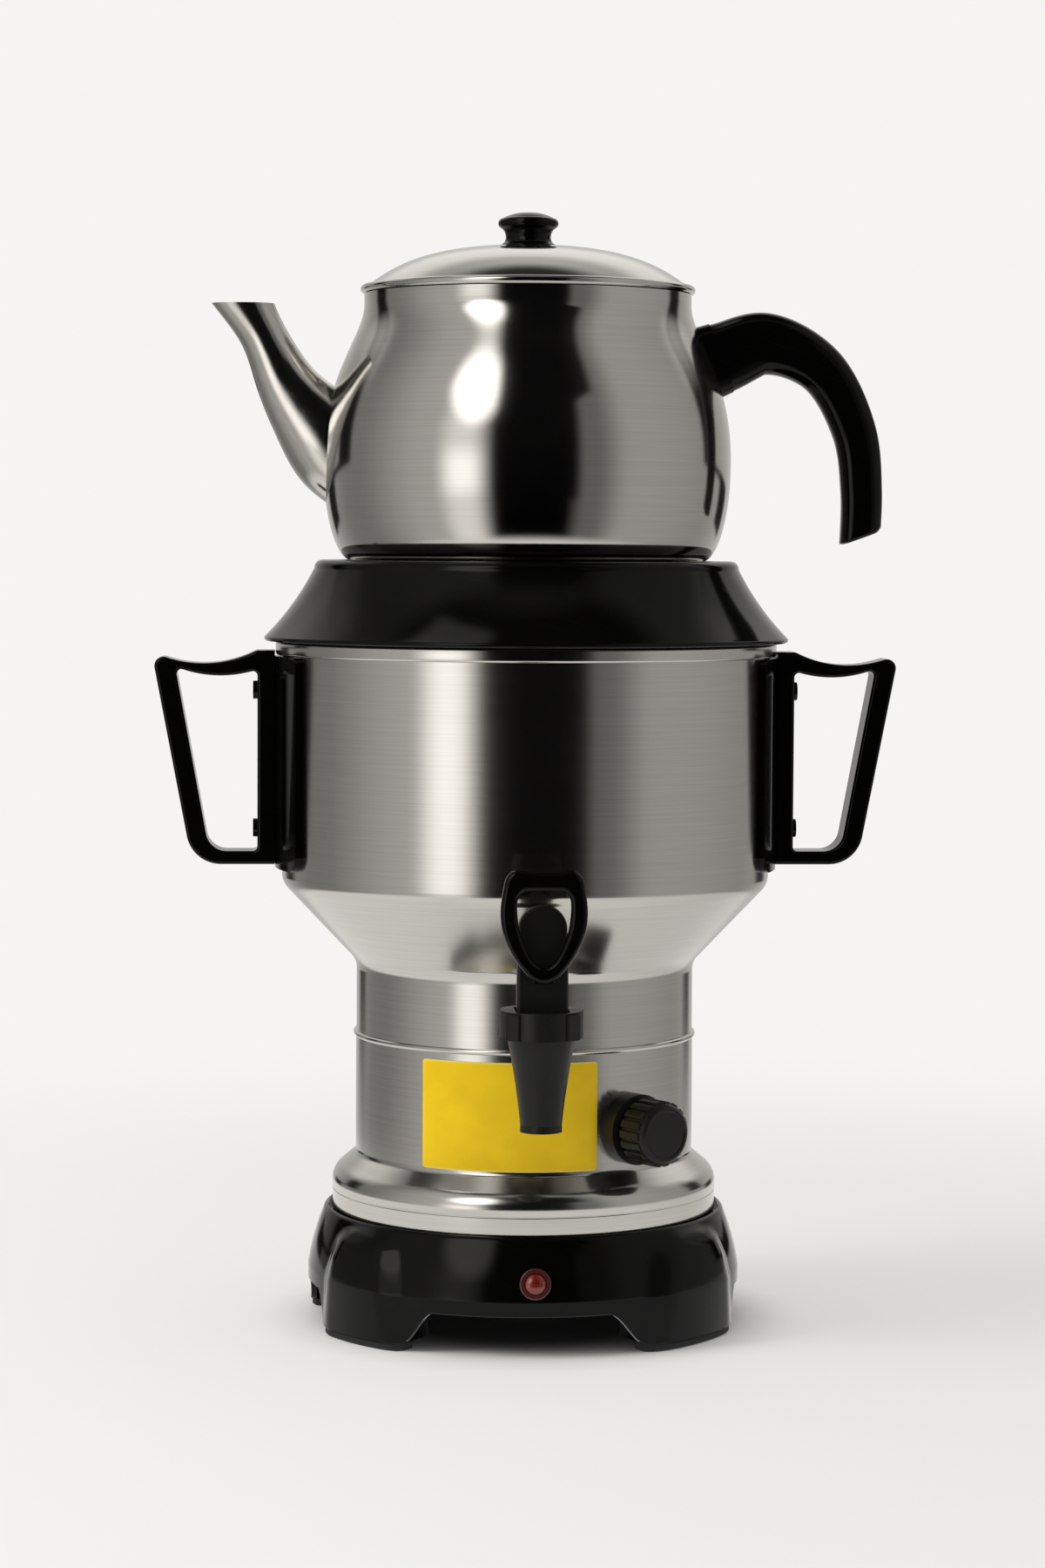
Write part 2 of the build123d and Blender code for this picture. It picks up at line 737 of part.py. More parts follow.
with BuildPart() as tap_bonnet:
    with BuildSketch(tap_plane):
        with BuildLine():
            Polyline(
                (cup_radius + 0.1, bonnet_bottom_z),
                (17.0, bonnet_bottom_z),
                (17.0, bonnet_top_z),
                (2.07, bonnet_top_z),
                (2.07, 143.1),
                (cup_radius + 0.1, 143.1),
                close=True,
            )
        make_face()
    revolve(axis=tap_axis)
    with BuildSketch(Plane.XY.offset(bonnet_bottom_z)):
        with Locations((0, tap_y)):
            with PolarLocations(0, 4, start_angle=45):
                with Locations((16.9, 0)):
                    RectangleRounded(2.4, 7, 0.5)
    extrude(amount=bonnet_top_z - bonnet_bottom_z - 0.8)
    with BuildSketch(Plane.XY.offset(bonnet_top_z)):
        with Locations((0, lever_pivot_y + 3.2)):
            Rectangle(22, 19)
    extrude(amount=-6.4, mode=Mode.SUBTRACT)
    with Locations((0, lever_pivot_y, lever_pivot_z)):
        Cylinder(1.0, 31, rotation=(0, 90, 0), mode=Mode.SUBTRACT)
write(tap_bonnet, "tap_bonnet")

with BuildPart() as lever_pin:
    with Locations((0, lever_pivot_y, lever_pivot_z)):
        Cylinder(0.98, 30, rotation=(0, 90, 0))
write(lever_pin, "lever_pin")

paddle_thickness = 5.6
paddle_front_y = lever_pivot_y - 2.6
with BuildPart() as tap_lever:
    with Locations((0, lever_pivot_y, lever_pivot_z)):
        Cylinder(3.2, 20.8, rotation=(0, 90, 0))
    # two fingers reach back under the stem's cross pin
    with Locations((-4.4, lever_pivot_y + 5, lever_pivot_z), (4.4, lever_pivot_y + 5, lever_pivot_z)):
        Box(3.4, 7.2, 1.8)
    # the neck rises out of the bonnet and ends in a round-topped paddle
    with BuildSketch(Plane.XZ.offset(-paddle_front_y - paddle_thickness)) as paddle:
        with BuildLine():
            Polyline(
                (-10.4, lever_pivot_z),
                (10.4, lever_pivot_z),
                (10.4, 164),
                (9.6, lever_top_z),
                (-9.6, lever_top_z),
                (-10.4, 164),
                close=True,
            )
        make_face()
        fillet(paddle.vertices().group_by(Axis.Y)[-1], 9.2)
        fillet(paddle.vertices().filter_by(lambda v: abs(v.Y - 164) < 0.1), 30)
    extrude(amount=paddle_thickness)
    paddle_edges = tap_lever.edges().filter_by(lambda e: e.center().Z > 152 and e.length > 7)
    fillet(paddle_edges.group_by(Axis.Y)[0], 1.4)
    with Locations((0, lever_pivot_y, lever_pivot_z)):
        Cylinder(1.03, 40, rotation=(0, 90, 0), mode=Mode.SUBTRACT)
    with Locations((0, lever_pivot_y + 4.5, lever_pivot_z + 1)):
        Box(5.4, 9, 8, mode=Mode.SUBTRACT)
write(tap_lever, "tap_lever")

loop_front_y = lever_pivot_y - 11.5
with BuildPart() as lever_loop:
    with BuildSketch(Plane.XZ.offset(-loop_front_y)):
        with BuildLine():
            brow = ThreePointArc((-12.4, loop_top_z), (0, loop_top_z - 1.0), (12.4, loop_top_z))
            right = Spline(
                brow @ 1,
                (16.6, 200),
                (17.6, 192),
                (14.5, 178),
                (0, 162.4),
                tangents=((0.55, -0.85), (-1, 0)),
            )
            mirror(right, about=Plane.YZ)
        make_face()
        with BuildLine():
            inner_brow = ThreePointArc((-7.6, 199.6), (0, 199.9), (7.6, 199.6))
            right = Spline(
                inner_brow @ 1, (10.8, 195), (8.6, 181), (0, 169.2), tangents=((1, -0.15), (-1, 0))
            )
            mirror(right, about=Plane.YZ)
        make_face(mode=Mode.SUBTRACT)
    extrude(amount=-6)
    # the stub that carries the loop on the lever's neck
    with BuildSketch(Plane.XZ.offset(-loop_front_y - 3)):
        with Locations((0, 165.2)):
            RectangleRounded(9, 4.8, 1.2)
    extrude(amount=loop_front_y + 3 - paddle_front_y)
write(lever_loop, "lever_loop")

with BuildPart() as tap_stem:
    with BuildSketch(Plane.XY.offset(130)):
        with Locations((0, tap_y)):
            Circle(2.0)
    extrude(amount=21.4)
    with Locations((0, tap_y, lever_pivot_z + 0.9 + 0.15 + 0.9)):
        Cylinder(0.9, 12.2, rotation=(0, 90, 0))
write(tap_stem, "tap_stem")

with BuildPart() as valve_cup:
    with BuildSketch(tap_plane):
        with BuildLine():
            Polyline(
                (2.02, 133.4),
                (8.2, 133.4),
                (8.6, 128.8),
                (7.4, 127.4),
                (4.5, 126.6),
                (0, 126.6),
                (0, 129.9),
                (2.02, 129.9),
                close=True,
            )
        make_face()
    revolve(axis=tap_axis)
write(valve_cup, "valve_cup")

with BuildPart() as tap_spring:
    spring_path = Helix(pitch=1.9, height=7.6, radius=4.6, center=(0, tap_y, 134.3), mode=Mode.PRIVATE)
    with BuildSketch(Plane(origin=spring_path @ 0, z_dir=spring_path % 0)):
        Circle(0.4)
    sweep(path=spring_path)
write(tap_spring, "tap_spring")

# ---------------------------------------------------------------- collar
with BuildPart() as collar:
    with BuildSketch(Plane.XZ):
        with BuildLine():
            start = (collar_lip_radius - 5, collar_bottom_z)
            under = Line(start, (collar_lip_radius - 0.8, collar_bottom_z))
            lip = ThreePointArc(
                under @ 1,
                (collar_lip_radius, collar_bottom_z + 1.1),
                (collar_lip_radius - 0.6, collar_bottom_z + 2.2),
            )
            flare = ThreePointArc(lip @ 1, (100.6, 314.2), (92.3, 328.2))
            brow = ThreePointArc(flare @ 1, (91.2, 330.8), (collar_top_radius, collar_top_z))
            Polyline(
                brow @ 1,
                (seat_radius + 0.8, collar_top_z),
                (seat_radius, collar_top_z - 0.8),
                (seat_radius, seat_z),
                (seat_hole_radius, seat_z),
                (seat_hole_radius, seat_z - wall),
                (seat_radius + wall, seat_z - wall),
                (seat_radius + wall, collar_top_z - wall),
                (88.2, collar_top_z - wall),
            )
            ThreePointArc((88.2, collar_top_z - wall), (97.8, 313.5), start)
        make_face()
    revolve(axis=Axis.Z)
    # ring that drops inside the boiler's rim
    with BuildSketch(Plane.XZ):
        with BuildLine():
            Polyline((101.2, 284), (104.2, 284), (104.2, 306), (101.2, 310), close=True)
        make_face()
    revolve(axis=Axis.Z)
    fillet(collar.edges().filter_by(GeomType.CIRCLE).group_by(Axis.Z)[0], 0.8)
write(collar, "collar")

turned(
    "collar_liner",
    [
        (seat_hole_radius - 3, seat_z - 14),
        (seat_hole_radius - 2, seat_z - 14),
        (seat_hole_radius - 2, seat_z),
        (seat_radius - 1, seat_z),
        (seat_radius - 1, seat_z + steel),
        (seat_hole_radius - 3, seat_z + steel),
    ],
)

with BuildPart() as liner_screws:
    with Locations(Plane.XY.offset(seat_z - wall - 1.6)):
        with PolarLocations(72, 3, start_angle=30):
            Cylinder(2.8, 1.6, align=(Align.CENTER, Align.CENTER, Align.MIN))
write(liner_screws, "liner_screws")

# ---------------------------------------------------------------- teapot
pot_neck_z = 442.0
pot_belly_z = 374.3


def pot_line(inset):
    """The teapot's side and underside, moved inwards by inset, from its mouth to the axis."""
    mouth, belly, base = pot_mouth_radius - inset, pot_belly_radius - inset, pot_bottom_z + inset
    with BuildLine() as line:
        neck = Line((mouth, pot_rim_z), (mouth, pot_neck_z))
        upper = Bezier(
            neck @ 1, (mouth, 428 + 0.3 * inset), (belly, 413 - 0.3 * inset), (belly, pot_belly_z)
        )
        lower = Bezier(upper @ 1, (belly, 348 + 0.5 * inset), (82.1 - 0.6 * inset, base), (76.6, base))
        Line(lower @ 1, (0, base))
    return line.line


with BuildPart() as pot_block:
    with BuildSketch(Plane.XZ):
        with BuildLine():
            add(pot_line(0))
            Polyline((0, pot_bottom_z), (0, pot_rim_z), (pot_mouth_radius, pot_rim_z))
        make_face()
    revolve(axis=Axis.Z)
pot_outer = pot_block.part

strainer_centre_z = 381.0
strainer_pitch = 6.5
with BuildPart() as teapot_body:
    with BuildSketch(Plane.XZ):
        with BuildLine():
            add(pot_line(0))
            add(pot_line(steel))
            Line((pot_mouth_radius, pot_rim_z), (pot_mouth_radius - steel, pot_rim_z))
            Line((0, pot_bottom_z), (0, pot_bottom_z + steel))
        make_face()
    revolve(axis=Axis.Z)
    with BuildSketch(Plane.YZ.offset(-100)):
        with Locations((0, strainer_centre_z)):
            with HexLocations(strainer_pitch / 2, 5, 5):
                Circle(1.5)
    extrude(amount=30, mode=Mode.SUBTRACT)
write(teapot_body, "teapot_body")

turned(
    "teapot_base_disc",
    [
        (0, disc_bottom_z),
        (disc_radius - 0.6, disc_bottom_z),
        (disc_radius, disc_bottom_z + 0.6),
        (disc_radius, pot_bottom_z),
        (0, pot_bottom_z),
    ],
)

# spout sections from inside the wall to above the mouth: centre x, z, direction x, z, height, width
spout_sections = (
    (-76.0, 375.0, -0.967, 0.255, 47.0, 36.0),
    (-89.0, 384.8, -0.906, 0.423, 42.5, 32.5),
    (-99.2, 398.5, -0.73, 0.68, 31.5, 26.5),
    (-106.0, 410.2, -0.53, 0.85, 25.2, 22.0),
    (-115.5, 430.0, -0.52, 0.85, 20.4, 18.5),
    (-127.5, 451.0, -0.35, 0.94, 27.0, 18.0),
)
mouth_z = 441.9


def spout_solid(inset):
    """The spout's outer shape moved inwards by inset, before it is cut to the pot and the mouth."""
    with BuildPart() as tube:
        for x, z, direction_x, direction_z, height, width in spout_sections:
            with BuildSketch(Plane(origin=(x, 0, z), x_dir=(0, 1, 0), z_dir=(direction_x, 0, direction_z))):
                Ellipse(width / 2 - inset, height / 2 - inset)
        loft()
    return tube.part


with BuildPart() as spout:
    add(spout_solid(0))
    add(spout_solid(steel), mode=Mode.SUBTRACT)
    add(pot_outer, mode=Mode.SUBTRACT)
    with Locations((-120, 0, mouth_z)):
        Box(80, 60, 30, align=(Align.CENTER, Align.CENTER, Align.MIN), mode=Mode.SUBTRACT)
write(spout, "teapot_spout")

# the handle leaves the pot square to its wall
handle_root = Vector(79.2, 0, 418)
handle_out = Vector(0.934, 0, 0.357)
ferrule_length = 5.0
with BuildPart() as handle_ferrule:
    for distance, height, depth in ((-4, 33, 25), (ferrule_length, 31.5, 23)):
        origin = handle_root + handle_out * distance
        with BuildSketch(Plane(origin=origin, x_dir=(0, 1, 0), z_dir=handle_out)):
            RectangleRounded(depth, height, 8)
    loft()
    add(pot_outer, mode=Mode.SUBTRACT)
    with BuildSketch(Plane(origin=handle_root - handle_out * 6, z_dir=handle_out)):
        Circle(2.5)
    extrude(amount=14, mode=Mode.SUBTRACT)
write(handle_ferrule, "handle_ferrule")

# centre of each handle section in X and Z, its height across the curve, and its depth in Y
handle_start = handle_root + handle_out * ferrule_length
handle_centres = (
    (handle_start.X, handle_start.Z),
    (103.6, 426.2),
    (127.5, 415.8),
    (142.6, 389.3),
    (146.3, 362.5),
    (145.3, 338.0),
)
handle_heights = (30.8, 27.0, 21.8, 19.2, 18.0, 17.4)
handle_depths = (22.0, 20.5, 18.5, 17.0, 16.2, 15.6)
with BuildPart() as teapot_handle:
    with BuildLine():
        spine = Spline(*[(x, 0, z) for x, z in handle_centres], tangents=(handle_out, (-0.06, 0, -1)))
    for (x, z), height, depth in zip(handle_centres, handle_heights, handle_depths):
        along = spine % spine.param_at_point((x, 0, z))
        with BuildSketch(Plane(origin=(x, 0, z), x_dir=(0, 1, 0), z_dir=along)):
            RectangleRounded(depth, height, depth * 0.38)
    loft()
    # slanting end, lower on the side near the pot
    with BuildSketch(Plane(origin=(146, 0, 342), x_dir=(0, 1, 0), z_dir=(0.34, 0, -0.94))):
        Rectangle(60, 60)
    extrude(amount=20, mode=Mode.SUBTRACT)
    fillet(teapot_handle.faces().sort_by(Axis.Z)[0].edges(), 1.5)
    with BuildSketch(Plane(origin=handle_start, z_dir=handle_out)):
        Circle(2.5)
    extrude(amount=14, mode=Mode.SUBTRACT)
write(teapot_handle, "teapot_handle")

with BuildPart() as handle_stud:
    with BuildSketch(Plane(origin=handle_root - handle_out * 3, z_dir=handle_out)):
        Circle(2.45)
    extrude(amount=20)
    add(pot_outer, mode=Mode.SUBTRACT)
write(handle_stud, "handle_stud")

# ---------------------------------------------------------------- teapot lid
with BuildPart() as teapot_lid:
    with BuildSketch(Plane.XZ):
        with BuildLine():
            crown = Bezier(
                (2.2, lid_top_z), (38.9, lid_top_z), (55.7, lid_top_z - 6.6), (70, lid_bead_z + 1.0)
            )
            underside = Bezier(
                (2.2, lid_top_z - steel),
                (38.6, lid_top_z - steel),
                (55.2, lid_top_z - 6.6 - 0.9 * steel),
                (69.3, lid_bead_z + 1.0 - 0.7 * steel),
            )
            Line(crown @ 0, underside @ 0)
            Line(crown @ 1, underside @ 1)
        make_face()
        with Locations((lid_bead_centre_radius, lid_bead_z)):
            Circle(lid_bead_radius)
    revolve(axis=Axis.Z)
    with Locations((0, 40, lid_top_z)):
        Cylinder(1.6, 20, mode=Mode.SUBTRACT)
write(teapot_lid, "teapot_lid")

# ring spot-welded under the lid, which centres it in the teapot's mouth
turned("lid_lip", [(68.1, 441.0), (69.0, 441.0), (69.0, 448.9), (68.1, 449.6)])

with BuildPart() as lid_knob:
    with BuildSketch(Plane.XZ):
        with BuildLine():
            cap = ThreePointArc((0, knob_top_z), (7.6, 481.0), (11.2, 479.4))
            brim = ThreePointArc(cap @ 1, (13.1, 477.4), (11.9, 475.3))
            waist = ThreePointArc(brim @ 1, (9.8, 471.4), (10.6, 468.9))
            foot = Line(waist @ 1, (11.9, 467.9))
            Polyline(foot @ 1, (11.9, lid_top_z), (2.0, lid_top_z), (2.0, 476), (0, 476), cap @ 0)
        make_face()
    revolve(axis=Axis.Z)
write(lid_knob, "lid_knob")

with BuildPart() as lid_screw:
    with Locations((0, 0, lid_top_z - steel - 0.1)):
        Cylinder(4.2, 2.2, align=(Align.CENTER, Align.CENTER, Align.MAX))
        Cylinder(1.95, 9, align=(Align.CENTER, Align.CENTER, Align.MIN))
write(lid_screw, "lid_screw")
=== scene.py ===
"""An electric samovar: a steel boiler with a tap on a heated base, and a teapot keeping warm on its collar.

All sizes in the code are in millimetres unless they say otherwise; meshes are made in metres. The origin
lies on the resting plane, on the boiler's axis, +Z is up, the tap faces -Y and the teapot's spout points
to -X. Outlines are lists of (radius, height).
"""

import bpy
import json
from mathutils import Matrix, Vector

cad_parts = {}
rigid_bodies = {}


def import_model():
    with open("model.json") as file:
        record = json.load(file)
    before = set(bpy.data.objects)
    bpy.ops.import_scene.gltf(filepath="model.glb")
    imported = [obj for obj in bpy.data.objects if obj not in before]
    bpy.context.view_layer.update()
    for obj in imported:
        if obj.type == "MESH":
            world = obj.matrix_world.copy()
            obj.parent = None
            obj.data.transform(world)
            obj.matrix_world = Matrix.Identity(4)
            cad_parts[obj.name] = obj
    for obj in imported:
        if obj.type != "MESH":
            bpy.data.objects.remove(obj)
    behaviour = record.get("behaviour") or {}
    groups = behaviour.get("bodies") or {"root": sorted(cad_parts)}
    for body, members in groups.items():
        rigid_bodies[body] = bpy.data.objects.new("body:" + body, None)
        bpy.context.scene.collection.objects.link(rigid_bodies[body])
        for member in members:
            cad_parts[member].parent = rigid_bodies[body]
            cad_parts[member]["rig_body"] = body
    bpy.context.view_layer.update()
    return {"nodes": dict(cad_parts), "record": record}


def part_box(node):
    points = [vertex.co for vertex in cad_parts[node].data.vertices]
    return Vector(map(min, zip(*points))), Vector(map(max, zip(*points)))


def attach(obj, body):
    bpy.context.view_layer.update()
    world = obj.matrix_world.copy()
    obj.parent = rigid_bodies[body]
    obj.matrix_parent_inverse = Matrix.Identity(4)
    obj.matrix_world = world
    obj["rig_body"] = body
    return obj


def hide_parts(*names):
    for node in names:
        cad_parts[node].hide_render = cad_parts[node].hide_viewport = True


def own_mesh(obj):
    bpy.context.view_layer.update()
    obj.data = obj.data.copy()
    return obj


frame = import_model()

import json
import math

import bmesh
import bpy
import numpy as np
from bpy.props import FloatProperty, FloatVectorProperty, IntProperty, PointerProperty
from mathutils import Matrix, Vector

bl_info = {
    "name": "Electric Samovar",
    "version": (1, 0, 0),
    "blender": (4, 5, 0),
    "location": "3D View > Sidebar > Samovar",
    "description": "Builds an electric samovar with its teapot around its packed CAD frame",
    "category": "Object",
}

MM = 0.001
SMOOTH_ANGLE = math.radians(32)
MOULDED_ANGLE = math.radians(40)
FORMED_ANGLE = math.radians(45)
ROUND = 256  # steps round a large turned shape


# ---- settings
def setting(kind, **options):
    """A maker of settings of one kind, which takes their name, description and default."""
    return lambda name, description, default: kind(
        name=name, description=description, default=default, **options
    )


colour_setting = setting(FloatVectorProperty, subtype="COLOR", size=3, min=0.0, max=1.0)
length_setting = setting(FloatProperty, unit="LENGTH", min=0.0, precision=5)
share_setting = setting(FloatProperty, subtype="FACTOR", min=0.0, max=1.0)
angle_setting = setting(FloatProperty, subtype="ANGLE")
amount_setting = setting(FloatProperty, min=0.0)


class SteelSettings(bpy.types.PropertyGroup):
    colour: colour_setting("Steel colour", "Colour of the stainless steel", (0.60, 0.585, 0.552))
    roughness: share_setting("Brushed roughness", "Roughness of the brushed walls", 0.15)
    pot_roughness: share_setting("Teapot roughness", "Roughness of the teapot and its lid", 0.10)
    line_pitch: length_setting("Brushing pitch", "Distance between the brushing lines", 0.0006)
    line_depth: length_setting("Brushing depth", "Height of the brushing lines", 0.0000015)


class BlackSettings(bpy.types.PropertyGroup):
    gloss_colour: colour_setting("Gloss black", "Colour of the glossy mouldings", (0.0016, 0.0016, 0.0012))
    gloss_roughness: share_setting("Gloss roughness", "Roughness of the glossy mouldings", 0.085)
    gloss_shine: share_setting("Gloss shine", "Specular level of the glossy mouldings", 0.17)
    satin_colour: colour_setting("Satin black", "Colour of the tap and knob", (0.0085, 0.0085, 0.0070))
    satin_roughness: share_setting("Satin roughness", "Roughness of the satin mouldings", 0.36)
    satin_shine: share_setting("Satin shine", "Specular level of the satin mouldings", 0.22)


class ColourSettings(bpy.types.PropertyGroup):
    label: colour_setting("Label", "Colour of the film label on the skirt", (0.80, 0.53, 0.006))
    lens: colour_setting("Lamp lens", "Colour of the pilot lamp's lens", (0.11, 0.008, 0.003))
    lamp_ring: colour_setting("Lamp ring", "Colour of the ring round the lens", (0.060, 0.012, 0.010))


class DetailSettings(bpy.types.PropertyGroup):
    knob_ribs: IntProperty(
        name="Knob ribs", description="Ribs round the thermostat knob", min=6, max=40, default=18
    )
    rib_width: length_setting("Rib width", "Width of one rib of the thermostat knob", 0.0034)
    hole_pitch: length_setting("Strainer pitch", "Distance between the strainer's holes", 0.0065)
    hole_radius: length_setting("Strainer hole", "Radius of one hole of the strainer", 0.0015)
    coil_wire: length_setting("Spring wire", "Radius of the tap spring's wire", 0.0004)


class StudioSettings(bpy.types.PropertyGroup):
    floor: colour_setting("Floor", "Colour of the floor", (0.90, 0.90, 0.88))
    backdrop: colour_setting("Backdrop", "Colour of the backdrop", (0.912, 0.905, 0.888))
    key_power: amount_setting("Key light", "Power of the key light in watts", 18.0)
    ambient: amount_setting("Ambient light", "Strength of the room's light", 0.66)
    lens: amount_setting("Lens", "Focal length of the camera in millimetres", 86.0)
    distance: length_setting("Distance", "Distance from the camera to the samovar's axis", 1.634)
    height: length_setting("Height", "Height of the camera over the floor", 0.3395)
    azimuth: angle_setting("Azimuth", "Angle of the camera from the tap, from above", math.radians(-3.2))
    tilt: angle_setting("Tilt", "Angle of the camera below the horizon", math.radians(3.69))
    roll: angle_setting("Roll", "Turn of the camera about its view", math.radians(0.3))
    pan: angle_setting("Pan", "Turn of the camera to its left", math.radians(0.045))


# ---- node trees
def sum_node(operation, swapped=False):
    """A method of Wire that adds one Math node; swapped changes the order of its two values."""
    if swapped:
        return lambda wire, other: wire.graph.maths(operation, other, wire)
    return lambda wire, other=0.0: wire.graph.maths(operation, wire, other)


class Wire:
    """A node's output, which in a shader can be used in Python sums that each add a Math node."""

    def __init__(self, graph, socket):
        self.graph = graph
        self.socket = socket

    __add__ = __radd__ = sum_node("ADD")
    __sub__ = sum_node("SUBTRACT")
    __rsub__ = sum_node("SUBTRACT", swapped=True)
    __mul__ = __rmul__ = sum_node("MULTIPLY")
    __truediv__ = sum_node("DIVIDE")
    __pow__ = sum_node("POWER")
    __abs__ = sum_node("ABSOLUTE")
    least = sum_node("MINIMUM")
    most = sum_node("MAXIMUM")

    def rise(self, start, end):
        """0 below start and 1 above end, with a smooth step between them."""
        inputs = {"Value": self, "From Min": start, "From Max": end, "To Min": 0.0, "To Max": 1.0}
        return self.graph.node("ShaderNodeMapRange", inputs, interpolation_type="SMOOTHSTEP")

    def band(self, start, end, soft):
        """1 between start and end and 0 outside, with smooth flanks of width soft."""
        return self.rise(start - soft, start + soft) * (1 - self.rise(end - soft, end + soft))

    def blend(self, share, other):
        """This value where share is 0 and the other where it is 1."""
        return self * (1 - share) + share * other


class Graph:
    """A node tree that is put together node by node."""

    def __init__(self, tree):
        self.tree = tree

    def node(self, kind, inputs=None, output=0, **settings):
        """Adds a node: its settings first, then the values or links of its inputs. Returns one output."""
        made = self.tree.nodes.new(kind)
        for name, value in settings.items():
            setattr(made, name, value)
        for name, value in (inputs or {}).items():
            socket = made.inputs[name]
            if isinstance(value, Wire):
                self.tree.links.new(value.socket, socket)
            elif socket.type == "RGBA":
                socket.default_value = (*tuple(value)[:3], 1.0)
            else:
                socket.default_value = value
        return Wire(self, made.outputs[output]) if made.outputs else None


class ShaderGraph(Graph):
    """The node tree of one material or world, with its coordinates split into X, Y and Z."""

    def __init__(self, owner, coordinates="Object"):
        owner.use_nodes = True
        super().__init__(owner.node_tree)
        self.tree.nodes.clear()
        self.point = self.node("ShaderNodeTexCoord", output=coordinates)
        self.x, self.y, self.z = (self.node("ShaderNodeSeparateXYZ", {0: self.point}, axis) for axis in "XYZ")

    def maths(self, operation, first, second=0.0):
        return self.node("ShaderNodeMath", {0: first, 1: second}, operation=operation)

    def reach(self):
        """Distance from the Z axis."""
        return (self.x * self.x + self.y * self.y) ** 0.5

    def noise(self, vector, scale, detail, rough):
        inputs = {"Vector": vector, "Scale": scale, "Detail": detail, "Roughness": rough}
        return self.node("ShaderNodeTexNoise", inputs)

    def cloud(self, scale, detail=3, rough=0.6):
        """Noise of one scale in every direction."""
        return self.noise(self.point, scale, detail, rough)

    def streaks(self, x, y, z, detail=2, rough=0.6):
        """Noise over scaled coordinates, drawn out along those that are scaled least."""
        return self.noise(self.node("ShaderNodeCombineXYZ", {0: x, 1: y, 2: z}), 1.0, detail, rough)

    def mix(self, factor, first, second):
        """A colour between two colours."""
        return self.node("ShaderNodeMix", {"Factor": factor, 6: first, 7: second}, 2, data_type="RGBA")

    def tones(self, factor, colour, dark, pale):
        """A colour between a darker and a paler tone of one colour."""
        return self.mix(factor, shade(colour, dark), shade(colour, pale))

    def ray(self, kind):
        """1 for rays of one kind and 0 for all others."""
        return self.node("ShaderNodeLightPath", output=f"Is {kind} Ray")

    def shader(self, kind, colour, **strength):
        return self.node(f"ShaderNode{kind}", {"Color": colour, **strength})

    def mix_shaders(self, share, first, second):
        return self.node("ShaderNodeMixShader", {0: share, 1: first, 2: second})


class Finish(ShaderGraph):
    """A procedural material with one Principled BSDF."""

    def __init__(self, name):
        self.material = bpy.data.materials.new(name)
        super().__init__(self.material)

    def surface(self, colour, roughness, bump, **constants):
        """Ends the material; bump is a height, its distance and its strength, constants are more inputs."""
        normal = self.node("ShaderNodeBump", dict(zip(("Height", "Distance", "Strength"), bump)))
        inputs = {"Base Color": colour, "Roughness": roughness, "Normal": normal}
        inputs.update({name.replace("_", " "): value for name, value in constants.items()})
        shader = self.node("ShaderNodeBsdfPrincipled", inputs)
        self.node("ShaderNodeOutputMaterial", {"Surface": shader})
        return self.material


def shade(colour, factor):
    """A colour times a factor."""
    return tuple(channel * factor for channel in colour)


# ---- finishes
def steel():
    return bpy.context.scene.samovar_steel


def spun_steel(name, roughness, up_weight, out_weight, anisotropy):
    """Brushed steel turned about the samovar's axis: hairlines run round it, with smears from wiping."""
    look = Finish(name)
    x, y = look.x, look.y
    across = look.z * up_weight + look.reach() * out_weight
    fine = look.streaks(x * 12, y * 12, across / steel().line_pitch, 3, 0.7)
    broad = look.streaks(x * 30, y * 30, across / (steel().line_pitch * 3), 2, 0.5)
    lines = fine * 0.9 + broad * 0.1
    colour = look.tones(lines.rise(0.3, 0.7), steel().colour, 0.955, 1.035)
    rough = roughness + (lines - 0.5) * 0.04 + look.cloud(14).rise(0.42, 0.68) * 0.01
    bump = (lines, steel().line_depth, 0.6)
    return look.surface(colour, rough, bump, Metallic=1.0, Anisotropic=anisotropy)


def drawn_steel(name):
    """Polished steel with a faint grain in no one direction, as on cast, bent and turned small parts."""
    look = Finish(name)
    grain = look.cloud(900, 3, 0.65)
    rough = 0.13 + (grain - 0.5) * 0.08 + look.cloud(35).rise(0.45, 0.7) * 0.04
    colour = look.tones(grain, steel().colour, 0.95, 1.08)
    return look.surface(colour, rough, (grain, 0.000003, 0.6), Metallic=1.0)


def spout_steel(name, roughness):
    """Steel ground along the spout, with the grain following its length."""
    look = Finish(name)
    across = look.x * 0.78 + look.z * 0.62
    along = look.z * 0.78 - look.x * 0.62
    grain = look.streaks(across * 700, look.y * 900, along * 25, 3, 0.65)
    rough = roughness + (grain - 0.5) * 0.09 + look.cloud(22).rise(0.45, 0.7) * 0.03
    colour = look.tones(grain.rise(0.3, 0.7), steel().colour, 0.94, 1.05)
    return look.surface(colour, rough, (grain, 0.000003, 0.7), Metallic=1.0)


def gloss_black(name):
    """High-gloss moulding with a faint flow ripple, hair scratches and a little dust in its pores."""
    settings = bpy.context.scene.samovar_black
    look = Finish(name)
    x, y, z = look.x, look.y, look.z
    ripple = look.cloud(60, 2, 0.5)
    scratches = look.streaks(x * 40 + z * 60, y * 50, z * 900 + x * 300).rise(0.62, 0.74)
    dust = look.cloud(420, 2).rise(0.63, 0.80)
    wear = scratches * 0.5 + dust * 0.5
    colour = look.mix(wear * 0.3, settings.gloss_colour, (0.010, 0.010, 0.009))
    rough = settings.gloss_roughness + ripple * 0.03 + wear * 0.10
    bump = (ripple + dust * 0.05, 0.00002, 0.25)
    return look.surface(colour, rough, bump, Specular_IOR_Level=settings.gloss_shine)


